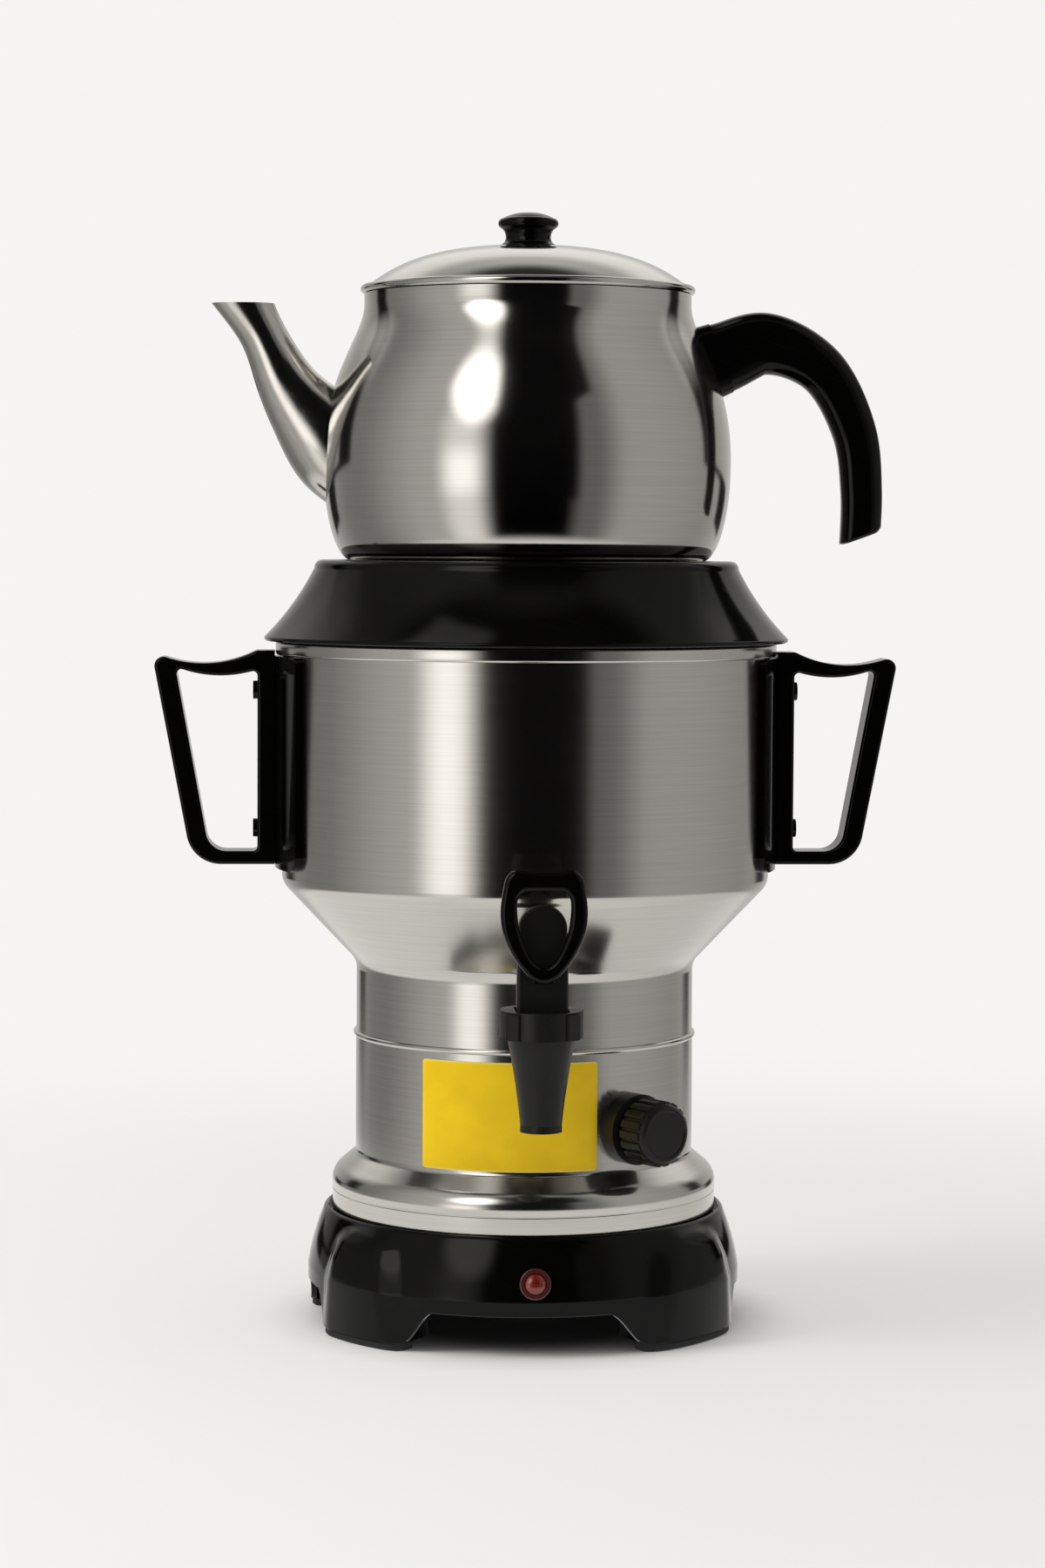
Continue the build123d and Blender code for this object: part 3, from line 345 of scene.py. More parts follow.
def satin_black(name):
    """Satin moulding with a fine eroded grain and rubbed, slightly shinier patches."""
    settings = bpy.context.scene.samovar_black
    look = Finish(name)
    grain = look.cloud(2600, 2)
    colour = look.tones(grain.rise(0.3, 0.7), settings.satin_colour, 0.8, 1.25)
    rough = settings.satin_roughness + (grain - 0.5) * 0.16 - look.cloud(45).rise(0.45, 0.7) * 0.07
    return look.surface(colour, rough, (grain, 0.000012, 0.7), Specular_IOR_Level=settings.satin_shine)


def foot_rubber(name):
    """Matt rubber with a fine blotchy grain, greyed where it meets the table."""
    look = Finish(name)
    grain = look.cloud(1500)
    scuffed = (1 - look.z.rise(0.0002, 0.0016)) * look.cloud(160, 2, 0.5).rise(0.4, 0.7)
    colour = look.mix(scuffed * 0.6, (0.014, 0.014, 0.014), (0.05, 0.049, 0.046))
    return look.surface(colour, 0.74 + grain * 0.2, (grain, 0.00003, 0.8))


def silicone(name):
    """Pale translucent-looking silicone with cloudy streaks."""
    look = Finish(name)
    cloud = look.cloud(140)
    colour = look.mix(cloud, (0.50, 0.48, 0.44), (0.62, 0.60, 0.56))
    return look.surface(colour, 0.42 + cloud * 0.2, (cloud, 0.00003, 0.5))


def lamp_lens(name):
    """Deep red lens with moulded prisms under a clear skin, its colour paler towards the prisms' edges as
    painted highlights, and an element that shows through its middle.
    """
    colour = bpy.context.scene.samovar_colours.lens
    look = Finish(name)
    pattern = {"Vector": look.point, "Scale": 900.0, "Randomness": 0.35}
    prisms = look.node("ShaderNodeTexVoronoi", pattern, feature="F1")
    post = (abs(look.x * 1000 - 0.6) - 0.5).rise(0.0, 0.5)
    core = look.mix(post, (0.045, 0.004, 0.003), colour)
    # painted highlights: the colour turns paler towards each prism's edge, standing in for light caught in
    # the prisms
    colour = look.mix(prisms.rise(0.15, 0.6), core, shade(colour, 1.7))
    bump = (prisms, 0.0001, 0.35)
    return look.surface(colour, 0.14 + prisms * 0.12, bump, Coat_Weight=0.8, Coat_Roughness=0.04)


def ring_plastic(name):
    """Dark red glossy ring with a faint turned ripple."""
    look = Finish(name)
    ripple = look.cloud(500, 2)
    colour = look.tones(ripple, bpy.context.scene.samovar_colours.lamp_ring, 0.8, 1.3)
    return look.surface(colour, 0.16 + ripple * 0.10, (ripple, 0.00001, 0.4), Coat_Weight=0.4)


def plain_brass(name):
    """Brass with drawn grain and darker, dulled spots."""
    look = Finish(name)
    grain = look.streaks(look.x * 1500, look.y * 60, look.z * 1500)
    spots = look.cloud(320).rise(0.5, 0.72)
    colour = look.mix(spots * 0.6, (0.72, 0.53, 0.23), (0.40, 0.27, 0.11))
    rough = 0.24 + grain * 0.12 + spots * 0.15
    return look.surface(colour, rough, (grain, 0.000004, 0.6), Metallic=1.0)


def element_steel(name):
    """Heat-dulled element tube with straw and brown tints and chalky spots of scale."""
    look = Finish(name)
    heat = look.cloud(40)
    scale = look.cloud(420, 4, 0.7).rise(0.56, 0.7)
    tinted = look.mix(heat.rise(0.35, 0.65), (0.36, 0.34, 0.31), (0.27, 0.20, 0.13))
    colour = look.mix(scale * 0.7, tinted, (0.55, 0.53, 0.48))
    rough = 0.38 + heat * 0.12 + scale * 0.35
    return look.surface(colour, rough, (scale, 0.00004, 0.6), Metallic=1.0 - scale * 0.7)


def wire_sleeve(name):
    """Woven glass-fibre sleeve: two families of slanting threads, with some grime in the gaps."""
    look = Finish(name)
    x, y, z = look.x, look.y, look.z
    one, other = (look.maths("SINE", slant * 9000) for slant in (x + y + z, x + y - z))
    weave = one.most(other) * 0.5 + 0.5
    grime = look.cloud(90)
    clean = look.mix(weave, (0.46, 0.44, 0.39), (0.80, 0.78, 0.71))
    colour = look.mix(grime.rise(0.45, 0.75) * 0.4, clean, (0.42, 0.36, 0.28))
    return look.surface(colour, 0.78 + grime * 0.15, (weave, 0.00008, 0.8))


def film_label(name):
    """Yellow vinyl film: a little uneven in its ink, rubbed paler along its edges."""
    look = Finish(name)
    ink = look.cloud(55, 3, 0.55)
    grain = look.cloud(1300, 2)
    low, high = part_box("side_label")
    edge = (look.z - low.z).least(high.z - look.z).rise(0.0, 0.0011)
    printed = look.tones(ink.rise(0.35, 0.7), bpy.context.scene.samovar_colours.label, 0.94, 1.04)
    colour = look.mix(edge, (0.80, 0.62, 0.10), printed)
    rough = 0.40 + (grain - 0.5) * 0.12 + ink * 0.05
    return look.surface(colour, rough, (grain, 0.000006, 0.5), Specular_IOR_Level=0.2)


FINISHES = {
    "brushed_steel": lambda: spun_steel("Brushed_steel", steel().roughness, 1.0, 0.6, 0.35),
    "teapot_steel": lambda: spun_steel("Teapot_steel", steel().pot_roughness, 1.0, 0.25, 0.2),
    "lid_steel": lambda: spun_steel("Lid_steel", steel().pot_roughness, 0.0, 1.0, 0.2),
    "spout_steel": lambda: spout_steel("Spout_steel", steel().pot_roughness + 0.03),
    "polished_steel": lambda: drawn_steel("Polished_steel"),
    "gloss_black": lambda: gloss_black("Gloss_black"),
    "matt_black": lambda: satin_black("Satin_black"),
    "foot_rubber": lambda: foot_rubber("Foot_rubber"),
    "seal_silicone": lambda: silicone("Seal_silicone"),
    "red_lens": lambda: lamp_lens("Lamp_lens"),
    "lamp_ring": lambda: ring_plastic("Lamp_ring"),
    "brass": lambda: plain_brass("Brass"),
    "element_steel": lambda: element_steel("Element_steel"),
    "wire_sleeve": lambda: wire_sleeve("Wire_sleeve"),
    "yellow_label": lambda: film_label("Film_label"),
}
made_finishes = {}


def finish(name):
    """A finish by name, made the first time it is asked for."""
    if name not in made_finishes:
        made_finishes[name] = FINISHES[name]()
    return made_finishes[name]


# ---- outlines in the plane
def arc(start, middle, end, count):
    """Points of the circular arc from start through middle to end."""
    (ax, ay), (bx, by), (cx, cy) = start, middle, end
    d = 2 * (ax * (by - cy) + bx * (cy - ay) + cx * (ay - by))
    ux = ((ax**2 + ay**2) * (by - cy) + (bx**2 + by**2) * (cy - ay) + (cx**2 + cy**2) * (ay - by)) / d
    uy = ((ax**2 + ay**2) * (cx - bx) + (bx**2 + by**2) * (ax - cx) + (cx**2 + cy**2) * (bx - ax)) / d
    radius = math.hypot(ax - ux, ay - uy)
    first = math.atan2(ay - uy, ax - ux)
    through = (math.atan2(by - uy, bx - ux) - first) % math.tau
    sweep = (math.atan2(cy - uy, cx - ux) - first) % math.tau
    if through > sweep:
        sweep -= math.tau
    angles = [first + sweep * k / count for k in range(count + 1)]
    return [(ux + radius * math.cos(a), uy + radius * math.sin(a)) for a in angles]


def bezier(start, first, second, end, count):
    """Points of a cubic Bezier curve."""
    points = []
    for k in range(count + 1):
        t = k / count
        s = 1 - t
        pairs = list(zip((s**3, 3 * s * s * t, 3 * s * t * t, t**3), (start, first, second, end)))
        points.append(tuple(sum(weight * point[i] for weight, point in pairs) for i in (0, 1)))
    return points


def rounded(corners, radius, count):
    """A line of corners whose inner corners are rounded."""
    points = [corners[0]]
    for before, corner, after in zip(corners, corners[1:], corners[2:]):
        corner = Vector(corner)
        into, out = Vector(before) - corner, Vector(after) - corner
        half = into.angle(out) / 2
        reach = min(radius / math.tan(half), 0.49 * min(into.length, out.length))
        bend = reach * math.tan(half)
        toward = (into.normalized() + out.normalized()).normalized()
        middle = corner + toward * (bend / math.sin(half) - bend)
        start, end = (corner + way.normalized() * reach for way in (into, out))
        points += arc(tuple(start), tuple(middle), tuple(end), count)
    points.append(corners[-1])
    return points


def through(rows, count, closed=False):
    """Rows of numbers on a smooth curve through the given rows, by a centripetal Catmull-Rom spline."""
    rows = [np.array(row, float) for row in rows]
    if closed:
        rows = [rows[-1], *rows, rows[0], rows[1]]
    else:
        rows = [2 * rows[0] - rows[1], *rows, 2 * rows[-1] - rows[-2]]
    spans = len(rows) - 3
    made = []
    for k in range(count):
        place = k * spans / (count if closed else count - 1)
        i = min(int(place), spans - 1)
        level = rows[i : i + 4]
        knots = [0.0]
        for a, b in zip(level, level[1:]):
            knots.append(knots[-1] + max(np.linalg.norm((b - a)[:2]), 1e-6) ** 0.5)
        t = knots[1] + (place - i) * (knots[2] - knots[1])
        for span in (1, 2):
            ends = list(zip(knots, knots[span:]))
            level = [((b - t) * p + (t - a) * q) / (b - a) for (a, b), p, q in zip(ends, level, level[1:])]
        made.append(((knots[2] - t) * level[0] + (t - knots[1]) * level[1]) / (knots[2] - knots[1]))
    return made


def soft_square(k, count, power):
    """Point k of count on a circle that is drawn out towards the corners of a square."""
    angle = math.tau * k / count
    return tuple(math.copysign(abs(way) ** power, way) for way in (math.cos(angle), math.sin(angle)))


def spaced(line, begin, end, steps):
    """Evenly spaced points on a line from one place to another, counted in its own points."""
    points = []
    for j in range(steps + 1):
        place = begin + (end - begin) * j / steps
        i = min(int(place), len(line) - 2)
        points.append(line[i].lerp(line[i + 1], place - i))
    return points


def step(value, start, end):
    """0 below start and 1 above end, with a smooth step between them."""
    t = max(0.0, min(1.0, (value - start) / (end - start)))
    return t * t * (3 - 2 * t)


def polar(azimuth, radius, height=0.0):
    """A point at an azimuth measured from the tap, anticlockwise from above."""
    angle = math.radians(azimuth)
    return Vector((radius * math.sin(angle), -radius * math.cos(angle), height))


# ---- meshes
def add_lathe(bm, outline, steps=192):
    """Adds a shape turned about the Z axis from an outline that ends on the axis or closes on itself."""
    rings = []
    for radius, z in outline:
        if radius < 1e-6:
            rings.append([bm.verts.new((0, 0, z * MM))])
            continue
        turns = [math.tau * k / steps for k in range(steps)]
        ring = [(radius * MM * math.cos(a), radius * MM * math.sin(a), z * MM) for a in turns]
        rings.append([bm.verts.new(point) for point in ring])
    for ring, following in zip(rings, rings[1:] + rings[:1]):
        if len(ring) == 1 and len(following) == 1:
            continue
        for k in range(steps):
            after = (k + 1) % steps
            if len(ring) == 1:
                bm.faces.new((ring[0], following[after], following[k]))
            elif len(following) == 1:
                bm.faces.new((ring[k], ring[after], following[0]))
            else:
                bm.faces.new((ring[k], ring[after], following[after], following[k]))


def add_rings(bm, rings, closed=False):
    """Adds a skin over rings of points, with capped ends unless the rings close on themselves."""
    made = [[bm.verts.new(Vector(point) * MM) for point in ring] for ring in rings]
    for ring, following in zip(made, made[1:] + (made[:1] if closed else [])):
        for k in range(len(ring)):
            after = (k + 1) % len(ring)
            bm.faces.new((ring[k], ring[after], following[after], following[k]))
    if not closed:
        bm.faces.new(made[0][::-1])
        bm.faces.new(made[-1])


def add_block(bm, low, high, radius, axis="y", count=5):
    """Adds a bar with a rounded rectangle as its section across the axis, and slightly eased ends."""
    order = {"x": (1, 2, 0), "y": (0, 2, 1), "z": (0, 1, 2)}[axis]
    (u0, u1), (v0, v1), (w0, w1) = ((low[i], high[i]) for i in order)
    ease = min(0.4, radius * 0.5)
    rings = []
    for w, inset in ((w0, ease), (w0 + ease, 0.0), (w1 - ease, 0.0), (w1, ease)):
        ring = []
        for cu, cv, start in ((u1, v1, 0), (u0, v1, 90), (u0, v0, 180), (u1, v0, 270)):
            centre_u = cu - math.copysign(radius, cu - (u0 + u1) / 2)
            centre_v = cv - math.copysign(radius, cv - (v0 + v1) / 2)
            for k in range(count + 1):
                angle = math.radians(start + 90 * k / count)
                values = {
                    order[0]: centre_u + (radius - inset) * math.cos(angle),
                    order[1]: centre_v + (radius - inset) * math.sin(angle),
                    order[2]: w,
                }
                ring.append((values[0], values[1], values[2]))
        rings.append(ring)
    add_rings(bm, rings)


def shape(name, *parts, angle=SMOOTH_ANGLE):
    """An object at the origin from parts, each a function that adds to a bmesh and what it is given.

    Its faces look outwards and are smooth, with sharp edges where they bend by more than the angle.
    """
    bm = bmesh.new()
    for add, *given in parts:
        add(bm, *given)
    bmesh.ops.remove_doubles(bm, verts=bm.verts, dist=1e-7)
    bmesh.ops.recalc_face_normals(bm, faces=bm.faces)
    mesh = bpy.data.meshes.new(name)
    bm.to_mesh(mesh)
    bm.free()
    smooth(mesh, angle)
    return placed(name, mesh)


def smooth(mesh, angle=SMOOTH_ANGLE):
    mesh.polygons.foreach_set("use_smooth", [True] * len(mesh.polygons))
    mesh.set_sharp_from_angle(angle=angle)


def placed(name, data):
    """A mesh, light or camera as an object in the scene."""
    made = bpy.data.objects.new(name, data)
    bpy.context.scene.collection.objects.link(made)
    return made


def lathe(name, *outlines, steps=192):
    """An object turned about the Z axis from one or more outlines."""
    return shape(name, *((add_lathe, outline, steps) for outline in outlines))


def plain_mesh(piece):
    """Turns a piece's modifiers into a plain mesh on the same object."""
    graph = bpy.context.evaluated_depsgraph_get()
    mesh = bpy.data.meshes.new_from_object(piece.evaluated_get(graph), depsgraph=graph)
    piece.modifiers.clear()
    old = piece.data
    piece.data = mesh
    bpy.data.meshes.remove(old)
    mesh.name = piece.name
    smooth(mesh)
    return piece


def cut(piece, cutter):
    """Cuts the cutter out of a piece and removes it."""
    modifier = piece.modifiers.new("Cut", "BOOLEAN")
    modifier.operation = "DIFFERENCE"
    modifier.solver = "EXACT"
    modifier.object = cutter
    plain_mesh(piece)
    bpy.data.objects.remove(cutter)
    return piece


def slot_of(node):
    """The material slot of a CAD node."""
    return next(row.get("material_slot") for row in frame["record"]["subparts"] if row["node"] == node)


def body_of(node):
    return frame["nodes"][node]["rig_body"]


def stand_for(piece, *nodes, look=None):
    """Gives a piece its finish, its body and the CAD nodes it stands for."""
    piece.data.materials.clear()
    piece.data.materials.append(finish(look or slot_of(nodes[0])))
    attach(piece, body_of(nodes[0]))
    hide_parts(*nodes)
    return piece


def dress(*nodes, look=None):
    """Gives CAD nodes that keep their own mesh a finish."""
    for node in nodes:
        for slot in frame["nodes"][node].material_slots:
            slot.material = finish(look or slot_of(node))


# ---- node trees for repeated parts
class PieceTree(Graph):
    """A Geometry Nodes tree with named inputs, used through a modifier and then turned to a plain mesh."""

    def __init__(self, name, inputs):
        super().__init__(bpy.data.node_groups.new(name, "GeometryNodeTree"))
        for title, kind in {"Geometry": "Geometry", **inputs, "Material": "Material"}.items():
            self.tree.interface.new_socket(title, in_out="INPUT", socket_type="NodeSocket" + kind)
        self.tree.interface.new_socket("Geometry", in_out="OUTPUT", socket_type="NodeSocketGeometry")
        self.start = self.tree.nodes.new("NodeGroupInput")

    def given(self, title):
        return Wire(self, self.start.outputs[title])

    def close(self, geometry):
        """Ends the tree in Realize Instances and Set Material."""
        real = self.node("GeometryNodeRealizeInstances", {"Geometry": geometry})
        painted = self.node("GeometryNodeSetMaterial", {"Geometry": real, "Material": self.given("Material")})
        self.node("NodeGroupOutput", {0: painted})
        return self

    def run(self, piece, values):
        """Runs the tree on a piece with the given input values and leaves a plain mesh."""
        modifier = piece.modifiers.new(self.tree.name, "NODES")
        modifier.node_group = self.tree
        for item in self.tree.interface.items_tree:
            if item.item_type == "SOCKET" and item.in_out == "INPUT" and item.name in values:
                modifier[item.identifier] = values[item.name]
        return plain_mesh(piece)


def ring_tree():
    """Copies of one piece round a circle about Z, each facing outwards, joined to the mesh they sit on."""
    tree = PieceTree("Pieces_round_a_circle", {"Piece": "Object", "Count": "Int", "Radius": "Float"})
    piece = tree.node("GeometryNodeObjectInfo", {"Object": tree.given("Piece")}, "Geometry")
    inputs = {"Vertices": tree.given("Count"), "Radius": tree.given("Radius")}
    circle = tree.node("GeometryNodeMeshCircle", inputs)
    place = tree.node("GeometryNodeInputPosition")
    facing = tree.node("FunctionNodeAlignRotationToVector", {"Vector": place}, axis="X")
    inputs = {"Points": circle, "Instance": piece, "Rotation": facing}
    copies = tree.node("GeometryNodeInstanceOnPoints", inputs)
    joined = tree.node("GeometryNodeJoinGeometry", {"Geometry": copies})
    tree.tree.links.new(tree.given("Geometry").socket, joined.socket.node.inputs[0])
    return tree.close(joined)


SIDEWAYS = (0.0, math.pi / 2, 0.0)


def strainer_tree():
    """Cuts a hexagon of round holes through one side of a wall."""
    tree = PieceTree("Strainer_holes", {"Pitch": "Float", "Hole radius": "Float", "Centre": "Vector"})
    inputs = {"Vertices": 6, "Radius": tree.given("Pitch")}
    hexagon = tree.node("GeometryNodeMeshCircle", inputs, fill_type="TRIANGLE_FAN")
    wide = tree.node("GeometryNodeTransform", {"Geometry": hexagon, "Scale": (2.0, 2.0, 2.0)})
    split = tree.node("GeometryNodeSubdivideMesh", {"Mesh": wide, "Level": 1})
    inputs = {"Geometry": split, "Rotation": SIDEWAYS, "Translation": tree.given("Centre")}
    upright = tree.node("GeometryNodeTransform", inputs)
    inputs = {"Vertices": 16, "Radius": tree.given("Hole radius"), "Depth": 0.03}
    drill = tree.node("GeometryNodeMeshCylinder", inputs)
    inputs = {"Points": upright, "Instance": drill, "Rotation": SIDEWAYS}
    drills = tree.node("GeometryNodeInstanceOnPoints", inputs)
    real = tree.node("GeometryNodeRealizeInstances", {"Geometry": drills})
    inputs = {"Mesh 1": tree.given("Geometry"), "Mesh 2": real}
    return tree.close(tree.node("GeometryNodeMeshBoolean", inputs, operation="DIFFERENCE", solver="EXACT"))


def coil_tree():
    """A coil spring about Z, of one wire."""
    titles = ("Turns", "Radius", "Height", "Wire radius")
    tree = PieceTree("Coil_spring", dict.fromkeys(titles, "Float"))
    turns, radius, height, wire_radius = map(tree.given, titles)
    inputs = {"Rotations": turns, "Start Radius": radius, "End Radius": radius, "Height": height}
    spiral = tree.node("GeometryNodeCurveSpiral", {"Resolution": 32, **inputs})
    section = tree.node("GeometryNodeCurvePrimitiveCircle", {"Resolution": 10, "Radius": wire_radius})
    inputs = {"Curve": spiral, "Profile Curve": section, "Fill Caps": True}
    return tree.close(tree.node("GeometryNodeCurveToMesh", inputs))


# ---- base
FEET = ((49.0, 1.0), (121.0, 1.0), (239.0, 1.0), (308.5, 0.84))  # azimuth of each foot, share of full width
BASE_RIM = (87.0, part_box("base_shell")[1].z / MM)
BASE_BELLY = (94.5, 24.0)
PAD_HEIGHT = 3.0
PAD_HALF_ANGLE = 18.4
PAD_BACK = 84  # radius of the pads' inner side
ARCH_Z = 17.6
ARCH_START = 18.0  # degrees from a foot's middle
BASE_WALL = 2.5
LIP_WALL = 1.7
INLET_HALF = (14.2, 10.45)  # half the width and height of the mains inlet's hole
LAMP_TILT = math.radians(12)
LAMP_Y = -0.0927  # metres


def wall_radius(z):
    """Radius of the base's wall between the feet."""
    t = max(0.0, min(1.0, (z - BASE_BELLY[1]) / (BASE_RIM[1] - BASE_BELLY[1])))
    return BASE_BELLY[0] + (BASE_RIM[0] - BASE_BELLY[0]) * t + 3.6 * t * (1 - t)


def foot_offset(azimuth):
    """Angle from the middle of the nearest foot, as on a foot of full width."""
    return min(abs((azimuth - foot + 180) % 360 - 180) / width for foot, width in FEET)


def foot_bulge(azimuth, z):
    """How far the nearest foot swells out of the wall: a broad rounded fender that ends under the rim."""
    depth = BASE_RIM[1] - z
    half_angle = np.interp(depth, (1.5, 4, 8, 16, 30, 47), (8.0, 12.5, 15.0, 16.5, 18.0, 20.0))
    swell = np.interp(depth, (1.2, 2.2, 4, 8, 14, 30, 47), (0.0, 0.9, 2.3, 3.9, 4.3, 3.6, 2.9))
    return swell * step(half_angle - foot_offset(azimuth), -2.8, 8.0)


def lower_edge(azimuth):
    """Height of the base wall's lower edge: on the pads at the feet, and an arch between them."""
    side = 60 < azimuth % 360 < 120 or 240 < azimuth % 360 < 300
    reach = 7.5 if side else 11.5
    return PAD_HEIGHT + (ARCH_Z - PAD_HEIGHT) * step(foot_offset(azimuth), ARCH_START, ARCH_START + reach)


def inlet_block(name, half_width, half_height, front, back, radius):
    """A rounded block about the middle of the mains inlet."""
    low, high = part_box("mains_inlet")
    level = (low.z + high.z) / 2 / MM
    corners = (-half_width, front, level - half_height), (half_width, back, level + half_height)
    return shape(name, (add_block, *corners, radius))


class SAMOVAR_OT_base_shell(bpy.types.Operator):
    """Moulded base: a wall with four swelling feet, arches between them, a lip and a ledge for the skirt"""

    bl_idname = "samovar.base_shell"
    bl_label = "Base shell"

    def execute(self, context):
        columns, rows = 480, 44
        rim, top = BASE_RIM
        lip = rim - LIP_WALL
        edge = [(rim - 0.25, top - 0.25), (rim - 0.7, top)]
        edge += [(lip + 0.5, top), (lip, top - 0.5), (lip, top - 2.9)]
        rings = []
        for k in range(columns):
            azimuth = 360 * k / columns
            low = lower_edge(azimuth)
            levels = [low + (top - 0.9 - low) * j / rows for j in range(rows + 1)]
            wall = [(wall_radius(z) + foot_bulge(azimuth, z), z) for z in levels]
            outside = [(wall[0][0] - 0.5, low), (wall[0][0], low + 0.5), *wall[1:]]
            inside = [(r - BASE_WALL, z) for r, z in wall[::4][::-1][1:-1]]
            inside.append((wall[0][0] - BASE_WALL, low))
            rings.append([polar(azimuth, r, z) for r, z in outside + edge + inside])
        ledge = [(70, top - 5.3), (88, top - 5.3), (86.2, top - 2.8), (70, top - 2.8)]
        shelf = [(62, 18), (92.8, 18), (92.8, 20.5), (62, 20.5)]
        parts = [(add_rings, rings, True), (add_lathe, ledge), (add_lathe, shelf)]
        for foot, width in FEET:
            block = []
            for z, half_angle, reach in ((PAD_HEIGHT, 17.6 * width, 95.6), (18.5, 15.2 * width, 94.0)):
                arc_out = [polar(foot + half_angle * s / 8, reach, z) for s in range(-8, 9)]
                arc_in = [polar(foot - half_angle * s / 8, 72, z) for s in range(-8, 9)]
                block.append(arc_out + arc_in)
            parts.append((add_rings, block))
        shell = shape("Base_shell", *parts, angle=MOULDED_ANGLE)
        stand_for(cut(shell, inlet_block("Inlet_cutter", *INLET_HALF, 70, 100, 0.6)), "base_shell")
        # the flat frame round the mains inlet
        surround = inlet_block("Inlet_surround", 22, 14, 88, 96, 3.0)
        cut(surround, inlet_block("Surround_cutter", *INLET_HALF, 80, 100, 0.6))
        surround.data.materials.append(finish("gloss_black"))
        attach(surround, "boiler")
        return {"FINISHED"}


class SAMOVAR_OT_base_fittings(bpy.types.Operator):
    """Pads, cover, screws, pilot lamp, mains inlet and the parts inside the base"""

    bl_idname = "samovar.base_fittings"
    bl_label = "Base fittings"

    def execute(self, context):
        self.add_pads()
        dress(
            "base_cover", "lamp_bezel", "lamp_neon", "mains_inlet", "inlet_pins", "terminal_block",
            "internal_wiring", "tie_rod", "tie_nut", "cover_screws",
        )
        dome = arc((4.35, 1.7), (2.4, 2.65), (0, 2.9), 10)
        lens = lathe("Lamp_lens", [(0, 0.4), (4.5, 0.4), (4.5, 1.4), *dome], steps=64)
        turn = Matrix.Rotation(math.pi / 2 - LAMP_TILT, 4, "X")
        low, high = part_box("lamp_lens")
        seat = Vector((0, LAMP_Y, (low.z + high.z) / 2 - 0.0003))
        lens.data.transform(Matrix.Translation(seat) @ turn)
        stand_for(lens, "lamp_lens")
        return {"FINISHED"}

    def add_pads(self):
        """Rubber pads that carry on the outline of the feet down to the table."""
        pads = []
        columns = 24
        for foot, width in FEET:
            half_angle = PAD_HALF_ANGLE * width
            rings = []
            for k in range(columns + 1):
                offset = half_angle * (2 * k / columns - 1)
                pull = 1.6 * step(abs(offset), half_angle - 1.2, half_angle)
                reach = wall_radius(PAD_HEIGHT) + foot_bulge(foot + offset, PAD_HEIGHT) - 0.7 - pull
                back = PAD_BACK + pull
                section = [(back, 0.4), (back + 0.4, 0), (reach - 0.8, 0), (reach, 0.8)]
                section += [(reach, PAD_HEIGHT), (back, PAD_HEIGHT)]
                rings.append([polar(foot + offset, r, z) for r, z in section])
            pads.append((add_rings, rings))
        stand_for(shape("Foot_pads", *pads, angle=MOULDED_ANGLE), "foot_pads")


# ---- skirt and boiler
class SAMOVAR_OT_skirt(bpy.types.Operator):
    """Steel skirt over the base, with its flared foot ring"""

    bl_idname = "samovar.skirt"
    bl_label = "Skirt"

    def execute(self, context):
        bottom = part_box("skirt")[0].z / MM
        outer = [(73.7, 124.5), *arc((73.7, 75.2), (73.98, 73.93), (74.77, 72.9), 8)]
        outer += arc((80.6, 68.0), (83.11, 64.72), (84, 60.7), 16)
        outer += [(84, 58.4), (83.85, 58.0), (83.55, 57.8), (83.55, 57.5), (83.8, 57.2), (83.8, bottom)]
        inner = [(82.8, bottom), *arc((83, 60.7), (82.2, 64.3), (79.96, 67.23), 16)]
        inner += arc((74.13, 72.14), (73.07, 73.51), (72.7, 75.2), 8) + [(72.7, 124.5)]
        stand_for(lathe("Skirt", outer + inner, steps=ROUND), "skirt")
        return {"FINISHED"}


class SAMOVAR_OT_boiler(bpy.types.Operator):
    """Boiler wall of neck, cone and drum, the seam bead under it and the rolled rim on top"""

    bl_idname = "samovar.boiler"
    bl_label = "Boiler"

    def execute(self, context):
        outer = rounded([(73.5, 125.2), (73.5, 157.4), (106.2, 191.9), (106.2, 292)], 9, 14)
        inner = rounded([(105.2, 292), (105.2, 192.3), (72.5, 157.8), (72.5, 125.2)], 9, 14)
        stand_for(lathe("Boiler", outer + inner, steps=ROUND), "boiler")
        bead = [(72.5, 124.5), *arc((74.0, 124.5), (74.8, 125.7), (74.0, 126.9), 8)]
        bead += [(73.5, 126.9), (73.5, 125.2), (72.5, 125.2)]
        stand_for(lathe("Seam_band", bead, steps=ROUND), "seam_band")
        face = arc((107.8, 290.4), (108.65, 290.75), (109, 291.6), 6)
        face += arc((109, 295.1), (108.65, 295.95), (107.8, 296.3), 6)
        rim = [(106.2, 290.4), *face, (105.2, 296.3), (105.2, 292), (106.2, 292)]
        stand_for(lathe("Boiler_rim", rim, steps=ROUND), "boiler_rim")
        dress("boiler_floor", "heating_element", "element_seals", "element_nuts", "thermal_cutout")
        return {"FINISHED"}


